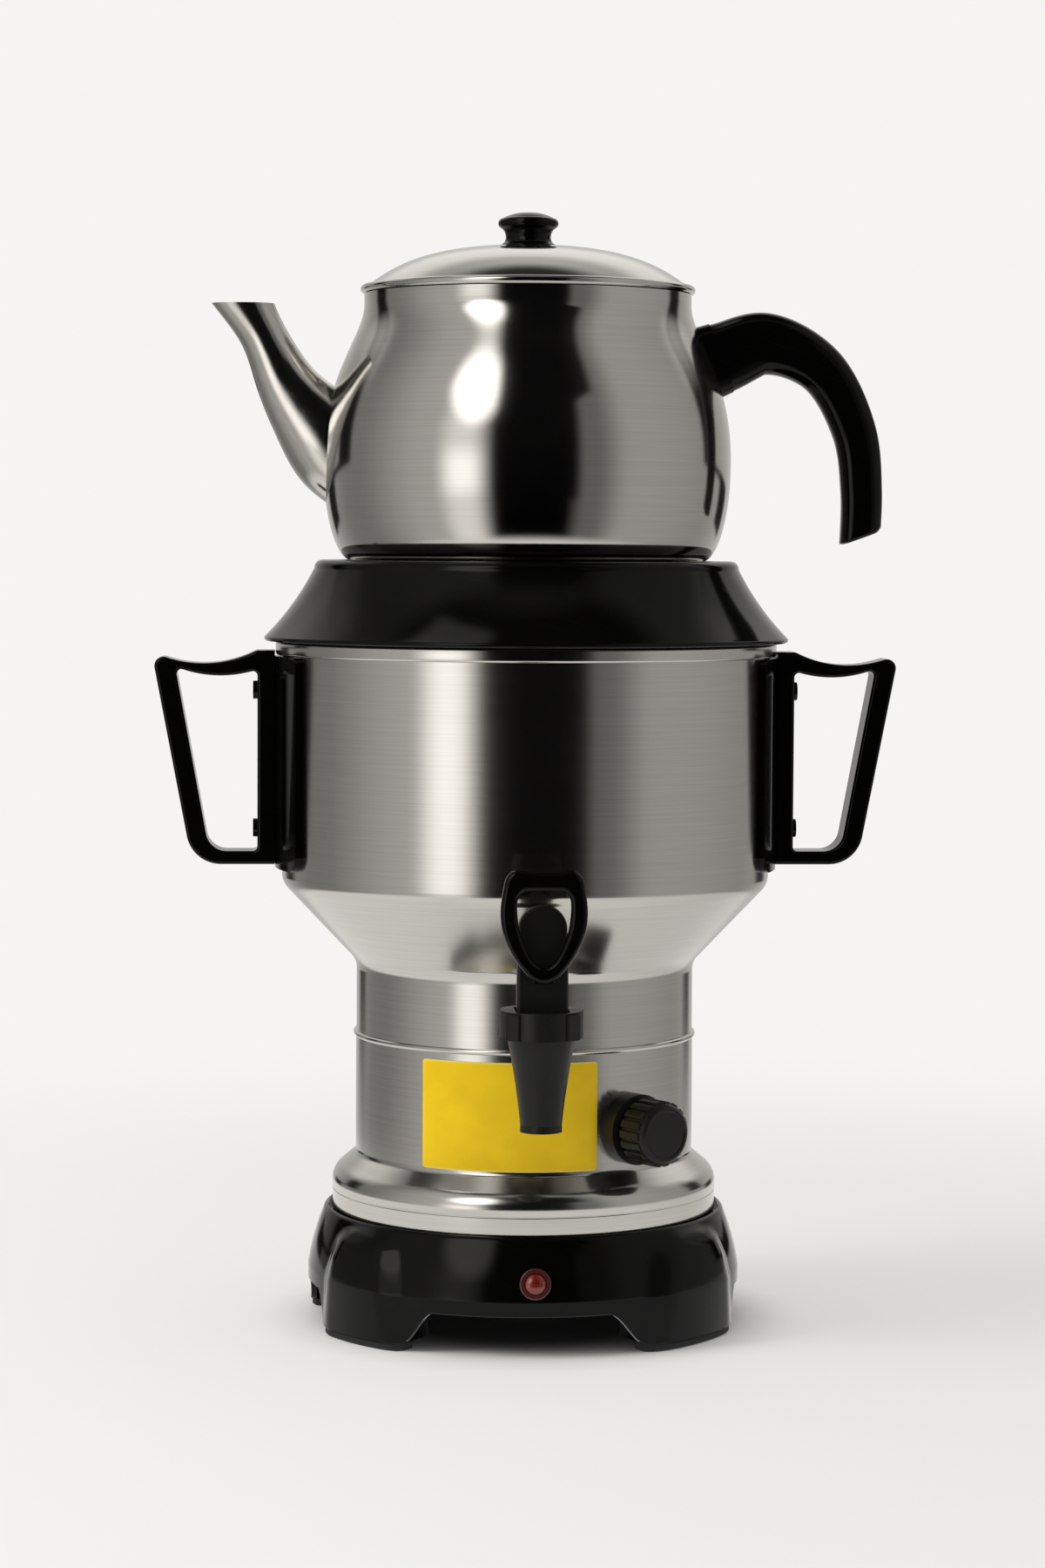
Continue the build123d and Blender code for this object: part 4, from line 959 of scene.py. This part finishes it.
class SAMOVAR_OT_label(bpy.types.Operator):
    """Plain yellow film on the skirt"""

    bl_idname = "samovar.label"
    bl_label = "Film label"

    def execute(self, context):
        low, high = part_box("side_label")
        bottom, top = low.z / MM, high.z / MM
        first, width, back = -38.5, 60, 73.78  # azimuth of its left edge, degrees, radius of its glued side
        corner, ease = 0.9, 0.18
        rings = []
        columns = 72
        for k in range(columns + 1):
            azimuth = first + width * k / columns
            side = min(k, columns - k) * width / columns * 73.8 * math.pi / 180
            pull = corner - math.sqrt(max(0.0, corner**2 - (corner - side) ** 2)) if side < corner else 0.0
            face = 74.1 if side > ease else 74.0
            section = [(back, bottom + pull), (face - 0.08, bottom + pull), (face, bottom + pull + ease)]
            section += [(face, top - pull - ease), (face - 0.08, top - pull), (back, top - pull)]
            rings.append([polar(azimuth, r, z) for r, z in section])
        stand_for(shape("Film_label", (add_rings, rings), angle=math.radians(50)), "side_label")
        return {"FINISHED"}


# ---- handles
class SAMOVAR_OT_handles(bpy.types.Operator):
    """Side handles with their saddles and screws"""

    bl_idname = "samovar.handles"
    bl_label = "Side handles"

    def execute(self, context):
        dress("left_handle_saddle", "left_handle_grip", "right_handle_saddle", "right_handle_grip")
        dress("left_handle_screws", "right_handle_screws", look="gloss_black")
        return {"FINISHED"}


class SAMOVAR_OT_tap(bpy.types.Operator):
    """Tap body, bonnet, lever and valve"""

    bl_idname = "samovar.tap"
    bl_label = "Tap"

    def execute(self, context):
        dress("tap_body", "tap_seal", "tap_nut", "tap_bonnet", "lever_pin")
        dress("tap_lever", "tap_stem", "valve_cup")
        low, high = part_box("tap_spring")
        wire = context.scene.samovar_details.coil_wire
        spring = placed("Tap_spring", bpy.data.meshes.new("Tap_spring"))
        values = {"Turns": 4.0, "Radius": 0.0046, "Height": high.z - low.z - 2 * wire, "Wire radius": wire}
        coil_tree().run(spring, {**values, "Material": finish("polished_steel")})
        spring.data.transform(Matrix.Translation((0, -0.126, low.z + wire)))
        # it stays under the bonnet, fixed to the boiler
        spring.data.materials.clear()
        spring.data.materials.append(finish("polished_steel"))
        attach(spring, "boiler")
        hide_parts("tap_spring")
        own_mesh(spring)
        return {"FINISHED"}


class SAMOVAR_OT_lever_loop(bpy.types.Operator):
    """Ring that tips the tap's lever, swelling towards its top"""

    bl_idname = "samovar.lever_loop"
    bl_label = "Lever loop"

    def execute(self, context):
        half_out = [(0, 207.6), (6.5, 207.8), (12.2, 208.4), (15.2, 205.6), (16.6, 200), (17.6, 192)]
        half_out += [(16.9, 184.5), (14.2, 177), (9.6, 169.6), (4.8, 164.4)]
        half_in = [(0, 199.9), (4.6, 199.8), (8.2, 199.3), (10.3, 197.2), (10.8, 194), (10.6, 189.5)]
        half_in += [(9.9, 184.5), (8.1, 179), (5.6, 173.6), (2.8, 170.3)]
        outer = half_out + [(0, 162.6)] + [(-x, z) for x, z in half_out[:0:-1]]
        inner = half_in + [(0, 169.3)] + [(-x, z) for x, z in half_in[:0:-1]]
        count = 96
        rings = []
        back, front = -136.6, -142.4
        for (ox, oz), (ix, iz) in zip(through(outer, count, True), through(inner, count, True)):
            middle = Vector(((ox + ix) / 2, (back + front) / 2, (oz + iz) / 2))
            across = Vector(((ox - ix) / 2, 0, (oz - iz) / 2))
            depth = Vector((0, (back - front) / 2, 0))
            places = [soft_square(k, 24, 0.62) for k in range(24)]
            rings.append([middle + across * u + depth * v for u, v in places])
        root = (add_block, (-4.5, -139.5, 162.8), (4.5, -133.6, 167.6), 1.2)
        loop = shape("Lever_loop", (add_rings, rings, True), root, angle=FORMED_ANGLE)
        stand_for(loop, "lever_loop")
        return {"FINISHED"}


# ---- thermostat
KNOB_AZIMUTH = 34.5
KNOB_Z = 0.092  # metres
RIB_CIRCLE = 0.0129  # metres


class SAMOVAR_OT_thermostat(bpy.types.Operator):
    """Thermostat with its bezel, shaft and ribbed knob"""

    bl_idname = "samovar.thermostat"
    bl_label = "Thermostat"

    def execute(self, context):
        dress("thermostat", "knob_bezel", "thermostat_shaft")
        details = context.scene.samovar_details
        flank = [(0, 93), (3.02, 93), (3.02, 83), (12.2, 83), *arc((12.6, 83.4), (12.9, 88), (12.7, 93.6), 8)]
        face = [*arc((12.7, 93.6), (12.9, 96.2), (11.9, 97.4), 6)[1:], (11.2, 98), (10.2, 98), (9.7, 97.6)]
        knob = lathe("Thermostat_knob", [*flank, *face, (0, 97.6)], steps=128)
        half = details.rib_width / MM / 2
        rib = shape("Knob_rib", (add_block, (-2.2, -half, 83.4), (1.0, half, 95.6), 0.75, "z"))
        values = {"Piece": rib, "Count": details.knob_ribs, "Radius": RIB_CIRCLE}
        ring_tree().run(knob, {**values, "Material": finish("matt_black")})
        bpy.data.objects.remove(rib)
        turn = polar(KNOB_AZIMUTH, 1.0).to_track_quat("Z", "Y").to_matrix().to_4x4()
        knob.data.transform(Matrix.Translation((0, 0, KNOB_Z)) @ turn)
        stand_for(knob, "thermostat_knob")
        return {"FINISHED"}


# ---- collar
class SAMOVAR_OT_collar(bpy.types.Operator):
    """Black collar that closes the boiler and carries the teapot, with its steel liner"""

    bl_idname = "samovar.collar"
    bl_label = "Collar"

    def execute(self, context):
        flare = arc((113.2, 296.6), (114, 297.7), (113.4, 298.8), 6)
        flare += arc((113.4, 298.8), (100.6, 314.2), (92.3, 328.2), 40)[1:]
        flare += arc((92.3, 328.2), (91.2, 330.8), (89, 331.7), 8)[1:]
        seat = [(81.8, 331.7), (81, 330.9), (81, 327.7), (62, 327.7), (62, 325.2)]
        seat += [(83.5, 325.2), (83.5, 329.2)]
        inside = arc((88.2, 329.2), (97.8, 313.5), (109, 296.6), 24)
        ring = [(101.2, 284.8), (102, 284), (103.4, 284), (104.2, 284.8), (104.2, 306), (101.2, 310)]
        stand_for(lathe("Collar", flare + seat + inside, ring, steps=ROUND), "collar")
        dress("collar_liner", "liner_screws")
        return {"FINISHED"}


# ---- teapot
POT_MOUTH = 70.9
POT_BELLY = 88.5
POT_BOTTOM_Z = 331.6
POT_RIM_Z = 446.4
MOUTH_Z = 441.9
STRAINER_CENTRE = (-0.0865, 0.0, 0.381)  # metres


def pot_side(inset):
    """The teapot's side and underside from its mouth to the axis, moved inwards by inset."""
    mouth, belly, base = POT_MOUTH - inset, POT_BELLY - inset, POT_BOTTOM_Z + inset
    widest = (belly, 374.3)
    upper = bezier((mouth, 442.0), (mouth, 428 + 0.3 * inset), (belly, 413 - 0.3 * inset), widest, 48)
    lower = bezier(widest, (belly, 348 + 0.5 * inset), (82.1 - 0.6 * inset, base), (76.6, base), 32)
    return [(mouth, POT_RIM_Z), *upper, *lower[1:], (0, base)]


class SAMOVAR_OT_teapot(bpy.types.Operator):
    """Teapot body with its base disc and the strainer behind the spout"""

    bl_idname = "samovar.teapot"
    bl_label = "Teapot body"

    def execute(self, context):
        details = context.scene.samovar_details
        pot = lathe("Teapot_body", pot_side(0) + pot_side(1.0)[::-1], steps=ROUND)
        values = {"Pitch": details.hole_pitch, "Hole radius": details.hole_radius}
        values.update({"Centre": STRAINER_CENTRE, "Material": finish("teapot_steel")})
        strainer_tree().run(pot, values)
        stand_for(pot, "teapot_body", look="teapot_steel")
        dress("teapot_base_disc", look="lid_steel")
        return {"FINISHED"}


SPOUT_SECTIONS = (
    # centre x and z, direction x and z, height, width
    (-76.0, 375.0, -0.967, 0.255, 47.0, 36.0),
    (-89.0, 384.8, -0.906, 0.423, 42.5, 32.5),
    (-99.2, 398.5, -0.73, 0.68, 31.5, 26.5),
    (-106.0, 410.2, -0.53, 0.85, 25.2, 22.0),
    (-115.5, 430.0, -0.52, 0.85, 20.4, 18.5),
    (-127.5, 451.0, -0.35, 0.94, 27.0, 18.0),
)


def spout_skin(inset, sides=72, rows=64):
    """Rings of the spout from the pot's wall to its level mouth, moved inwards by inset."""
    stations = through(SPOUT_SECTIONS, 240)
    wall_r, wall_z = zip(*pot_side(0.35 + inset * 0.4)[-2::-1])
    lines = []
    for k in range(sides):
        angle = math.tau * k / sides
        line = []
        for x, z, direction_x, direction_z, height, width in stations:
            length = math.hypot(direction_x, direction_z)
            up = Vector((-direction_z / length, 0, direction_x / length))
            point = Vector((x, 0, z)) + up * (height / 2 - inset) * math.sin(angle)
            line.append(point + Vector((0, (width / 2 - inset) * math.cos(angle), 0)))
        half = len(line) // 2
        outside = [math.hypot(p.x, p.y) - np.interp(p.z, wall_z, wall_r) for p in line]
        first = max(i for i in range(half) if outside[i] < 0)
        last = next(i for i in range(half, len(line)) if line[i].z > MOUTH_Z) - 1
        begin = first + outside[first] / (outside[first] - outside[first + 1])
        end = last + (MOUTH_Z - line[last].z) / (line[last + 1].z - line[last].z)
        lines.append(spaced(line, begin, end, rows))
    return [[line[j] for line in lines] for j in range(rows + 1)]


class SAMOVAR_OT_spout(bpy.types.Operator):
    """Teapot spout, open from the pot's wall to its level mouth"""

    bl_idname = "samovar.spout"
    bl_label = "Teapot spout"

    def execute(self, context):
        rings = spout_skin(0) + spout_skin(1.0)[::-1]
        spout = shape("Teapot_spout", (add_rings, rings, True), angle=MOULDED_ANGLE)
        stand_for(spout, "teapot_spout", look="spout_steel")
        return {"FINISHED"}


HANDLE_ROOT = Vector((79.2, 0, 418))
HANDLE_OUT = Vector((0.934, 0, 0.357)).normalized()
HANDLE_END = Vector((146, 0, 342))
HANDLE_SLANT = Vector((0.34, 0, -0.94)).normalized()  # across the handle's end face
HANDLE_SECTIONS = (
    # centre x and z, height, depth
    (103.6, 426.2, 27.0, 20.5),
    (127.5, 415.8, 21.8, 18.5),
    (142.6, 389.3, 19.2, 17.0),
    (146.3, 362.5, 18.0, 16.2),
    (145.3, 330.0, 17.2, 15.4),
)


class SAMOVAR_OT_teapot_handle(bpy.types.Operator):
    """Curved teapot handle with a slanting end, its ferrule and its stud"""

    bl_idname = "samovar.teapot_handle"
    bl_label = "Teapot handle"

    def execute(self, context):
        start = HANDLE_ROOT + HANDLE_OUT * 5.0
        stations = through([(start.x, start.z, 30.8, 22.0), *HANDLE_SECTIONS], 121)
        sides, rows = 48, 96
        lines = []
        for k in range(sides):
            u, v = soft_square(k, sides, 0.72)
            line = []
            for i, (x, z, height, depth) in enumerate(stations):
                before, after = stations[max(i - 1, 0)], stations[min(i + 1, len(stations) - 1)]
                along = Vector((after[0] - before[0], 0, after[1] - before[1])).normalized()
                along = HANDLE_OUT.lerp(along, min(1.0, i / 6)).normalized()
                up = Vector((-along.z, 0, along.x))
                line.append(Vector((x, 0, z)) + up * (height / 2 * v) + Vector((0, depth / 2 * u, 0)))
            beyond = [(p - HANDLE_END).dot(HANDLE_SLANT) for p in line]
            last = next(i for i, gap in enumerate(beyond) if gap > 0) - 1
            lines.append(spaced(line, 0, last + beyond[last] / (beyond[last] - beyond[last + 1]), rows))
        rings = [[line[j] for line in lines] for j in range(rows)]
        face = [line[rows] for line in lines]
        centre = sum(face, Vector()) / sides
        for inset, lift in ((0.25, 0.9), (1.0, 0.25), (2.0, 0.0)):
            rings.append([p + (centre - p).normalized() * inset - HANDLE_SLANT * lift for p in face])
        handle = shape("Teapot_handle", (add_rings, rings), angle=FORMED_ANGLE)
        stand_for(handle, "teapot_handle")
        dress("handle_stud")
        dress("handle_ferrule", look="gloss_black")
        return {"FINISHED"}


# ---- lid
LID_BEAD = (70.8, 448.5, 1.75)  # radius, height and section radius of the rolled bead
LID_TOP_Z = 467.5
VENT_Y = 0.040  # metres


class SAMOVAR_OT_lid(bpy.types.Operator):
    """Domed teapot lid with its rolled bead, vent and inner lip"""

    bl_idname = "samovar.lid"
    bl_label = "Teapot lid"

    def execute(self, context):
        ring, level, radius = LID_BEAD
        crown = bezier((2.2, LID_TOP_Z), (38.9, LID_TOP_Z), (55.7, 460.9), (70, 449.5), 56)
        crown = [p for p in crown if math.hypot(p[0] - ring, p[1] - level) > radius + 0.15]
        turns = [math.radians(a) for a in range(126, -121, -14)]
        bead = [(ring + radius * math.cos(a), level + radius * math.sin(a)) for a in turns]
        lip = [(69.2, 446.6), (69.2, 441.4), (68.9, 441.0), (68.5, 441.0), (68.2, 441.4), (68.2, 449.2)]
        underside = bezier((2.2, 466.5), (38.6, 466.5), (55.2, 460.0), (68.0, 449.6), 40)[::-1]
        lid = lathe("Teapot_lid", crown + bead + lip + underside, steps=ROUND)
        drill = lathe("Vent_cutter", [(0, 460), (1.6, 460), (1.6, 470), (0, 470)], steps=24)
        drill.data.transform(Matrix.Translation((0, VENT_Y, 0)))
        stand_for(cut(lid, drill), "teapot_lid", "lid_lip", look="lid_steel")
        cap = arc((0, 481.8), (7.6, 481.0), (11.2, 479.4), 14)
        brim = arc((11.2, 479.4), (13.1, 477.4), (11.9, 475.3), 12)[1:]
        waist = arc((11.9, 475.3), (9.8, 471.4), (10.6, 468.9), 16)[1:]
        foot = [*arc((10.6, 468.9), (11.3, 468.5), (11.9, 467.9), 4)[1:], (11.9, 467.5), (0, 467.5)]
        stand_for(lathe("Lid_knob", cap + brim + waist + foot, steps=96), "lid_knob")
        dress("lid_screw")
        return {"FINISHED"}


# ---- stage
KEY_PLACE = Vector((-1.55, -0.45, 1.05))  # metres
KEY_TARGET = Vector((0, 0, 0.15))
WARM_WHITE = (1.0, 0.985, 0.955)
PLAIN_WHITE = (1.0, 0.99, 0.975)
DEGREES = 180 / math.pi


def add_disc(bm, radius):
    bmesh.ops.create_circle(bm, cap_ends=True, segments=96, radius=radius)


class SAMOVAR_OT_stage(bpy.types.Operator):
    """Pale floor and backdrop, soft studio light and the camera"""

    bl_idname = "samovar.stage"
    bl_label = "Studio"

    def execute(self, context):
        studio = context.scene.samovar_studio
        self.add_floor(studio)
        self.light_room(context, studio)
        self.add_key(studio)
        self.add_camera(context, studio)
        context.scene.view_settings.view_transform = "Standard"
        return {"FINISHED"}

    def add_floor(self, studio):
        """A round floor that fades into the backdrop's colour away from the samovar, with a painted shadow
        darkening its colour under the base.
        """
        floor = shape("Floor", (add_disc, 3.0))
        material = bpy.data.materials.new("Floor")
        graph = ShaderGraph(material)
        far = graph.reach()
        tint = graph.tones(graph.cloud(30, 2, 0.5), studio.floor, 0.995, 1.005)
        # painted shadow: the floor's colour goes down to an eighth of itself under the base, where the base's
        # shade falls
        tint = graph.mix(far.rise(0.055, 0.098), shade(studio.floor, 0.12), tint)
        lit = graph.shader("BsdfDiffuse", tint, Roughness=0.0)
        pale = graph.shader("Emission", studio.backdrop, Strength=1.0)
        glossy_ray = graph.ray("Glossy")
        seen = 0.45 * far.rise(0.085, 0.125) + 0.55 * far.rise(0.30, 0.9)
        share = graph.ray("Camera") * seen + glossy_ray * (0.7 - 0.25 * graph.x.rise(0.02, 0.35))
        mixed = graph.mix_shaders(share, lit, pale)
        open_air = graph.node("ShaderNodeBsdfTransparent")
        shown = graph.mix_shaders(glossy_ray * far.rise(0.42, 0.60), mixed, open_air)
        graph.node("ShaderNodeOutputMaterial", {"Surface": shown})
        floor.data.materials.append(material)

    def light_room(self, context, studio):
        """The world: a room of lights and dark screens for mirrored rays, even light for all others."""
        world = bpy.data.worlds.new("Studio")
        context.scene.world = world
        graph = ShaderGraph(world, "Generated")
        c, s = math.cos(studio.azimuth), math.sin(studio.azimuth)
        right_way = graph.x * c + graph.y * s
        toward = graph.x * s - graph.y * c
        # degrees to the right of the camera, and above the horizon
        turn = graph.maths("ARCTAN2", right_way, toward) * DEGREES
        rise = graph.maths("ARCSINE", graph.z) * DEGREES
        # side walls: darker behind the lights, paler towards the front corners
        left = 0.24 + turn.rise(-112, -54) * 0.30
        right = turn.rise(22, 34) * 0.17 + turn.rise(38, 62) * 0.28 - turn.rise(72, 130) * 0.10
        room = left * (1 - turn.rise(-30, -16)) + right
        # a tall strip light on the left with a round umbrella above it
        strip = turn.band(-47, -26, 8) * (0.50 + rise.band(-10, 4, 5.0) * 0.60) * (1 - rise.rise(14, 26))
        across, above = (turn + 31) / 18, (rise - 33) / 18
        umbrella = 1 - ((across * across + above * above) ** 0.5).rise(0.6, 1.2)
        room = room + strip + umbrella * 1.9
        # the dark screen round the camera, wider at its top
        screen = turn.band(-17, 29 + rise.band(28, 56, 3.0) * 11, 3.5) * rise.rise(-15, -11)
        room = room * (1 - screen * 0.97)
        # the pale wall behind, with a dark stand on each side: nearer the middle low down, wider apart above
        side = abs(turn)
        room = room.blend(side.rise(118, 180), 0.62)
        stands = 1 - abs(side - (147 - rise.rise(-1.2, 1.0) * 22)).rise(5.0, 9.5)
        room = room * (1 - stands * rise.rise(-8.5, -7.0) * (1 - rise.rise(24, 44)) * 0.97)
        # the ceiling, paler in front
        room = room.blend(rise.rise(54, 66), 0.03 + toward.rise(0.20, 0.45) * 0.28 + umbrella * 0.3)
        # a long light high up behind, for the top edges of the mouldings and the lid
        room = room + side.rise(108, 126) * rise.band(22, 44, 7.0) * 0.45
        # a small box overhead to the left, which lights the skirt's flare
        overhead = right_way.band(-0.42, -0.15, 0.04) * toward.band(-0.30, 0.12, 0.05)
        room = room + overhead * rise.rise(52, 60) * 1.1
        shown = graph.shader("Background", WARM_WHITE, Strength=room)
        pale = graph.shader("Background", studio.backdrop, Strength=1.0)
        plain = graph.shader("Background", PLAIN_WHITE, Strength=studio.ambient)
        lit = graph.mix_shaders(graph.ray("Glossy"), plain, shown)
        final = graph.mix_shaders(graph.ray("Camera").most(graph.ray("Transmission")), lit, pale)
        graph.node("ShaderNodeOutputWorld", {"Surface": final})

    def add_key(self, studio):
        """A large soft light from the upper left, which throws the soft shadow to the right."""
        light = bpy.data.lights.new("Key", "AREA")
        light.shape = "DISK"
        light.size = 0.9
        light.energy = studio.key_power
        light.color = (1.0, 0.985, 0.96)
        key = placed("Key", light)
        key.location = KEY_PLACE
        key.rotation_euler = (KEY_TARGET - KEY_PLACE).to_track_quat("-Z", "Y").to_euler()
        key.visible_glossy = False

    def add_camera(self, context, studio):
        camera = bpy.data.cameras.new("Camera")
        camera.sensor_width = 36.0
        camera.lens = studio.lens
        camera.clip_start, camera.clip_end = 0.05, 50.0
        viewer = placed("Camera", camera)
        c, s = math.cos(studio.azimuth), math.sin(studio.azimuth)
        viewer.location = (studio.distance * s, -studio.distance * c, studio.height)
        facing = Matrix.Rotation(studio.azimuth + studio.pan, 3, "Z")
        level = facing @ Matrix.Rotation(math.pi / 2 - studio.tilt, 3, "X")
        viewer.rotation_euler = (level @ Matrix.Rotation(studio.roll, 3, "Z")).to_euler()
        context.scene.camera = viewer


# ---- panel and registration
OPERATORS = (
    SAMOVAR_OT_base_shell, SAMOVAR_OT_base_fittings, SAMOVAR_OT_skirt, SAMOVAR_OT_boiler, SAMOVAR_OT_label,
    SAMOVAR_OT_handles, SAMOVAR_OT_tap, SAMOVAR_OT_lever_loop, SAMOVAR_OT_thermostat, SAMOVAR_OT_collar,
    SAMOVAR_OT_teapot, SAMOVAR_OT_spout, SAMOVAR_OT_teapot_handle, SAMOVAR_OT_lid, SAMOVAR_OT_stage,
)


class SAMOVAR_PT_sidebar(bpy.types.Panel):
    """Lists the samovar's pieces and the studio"""

    bl_label = "Samovar"
    bl_idname = "SAMOVAR_PT_sidebar"
    bl_space_type = "VIEW_3D"
    bl_region_type = "UI"
    bl_category = "Samovar"

    def draw(self, context):
        for operator in OPERATORS:
            self.layout.operator(operator.bl_idname)


SETTINGS = {
    "samovar_steel": SteelSettings,
    "samovar_black": BlackSettings,
    "samovar_colours": ColourSettings,
    "samovar_details": DetailSettings,
    "samovar_studio": StudioSettings,
}


def register():
    for name, group in SETTINGS.items():
        bpy.utils.register_class(group)
        setattr(bpy.types.Scene, name, PointerProperty(type=group))
    for made in (*OPERATORS, SAMOVAR_PT_sidebar):
        bpy.utils.register_class(made)


def unregister():
    for made in reversed((*OPERATORS, SAMOVAR_PT_sidebar)):
        bpy.utils.unregister_class(made)
    for name, group in SETTINGS.items():
        delattr(bpy.types.Scene, name)
        bpy.utils.unregister_class(group)


def main():
    register()
    for operator in OPERATORS:
        getattr(bpy.ops.samovar, operator.bl_idname.split(".")[1])()


if __name__ == "__main__":
    main()
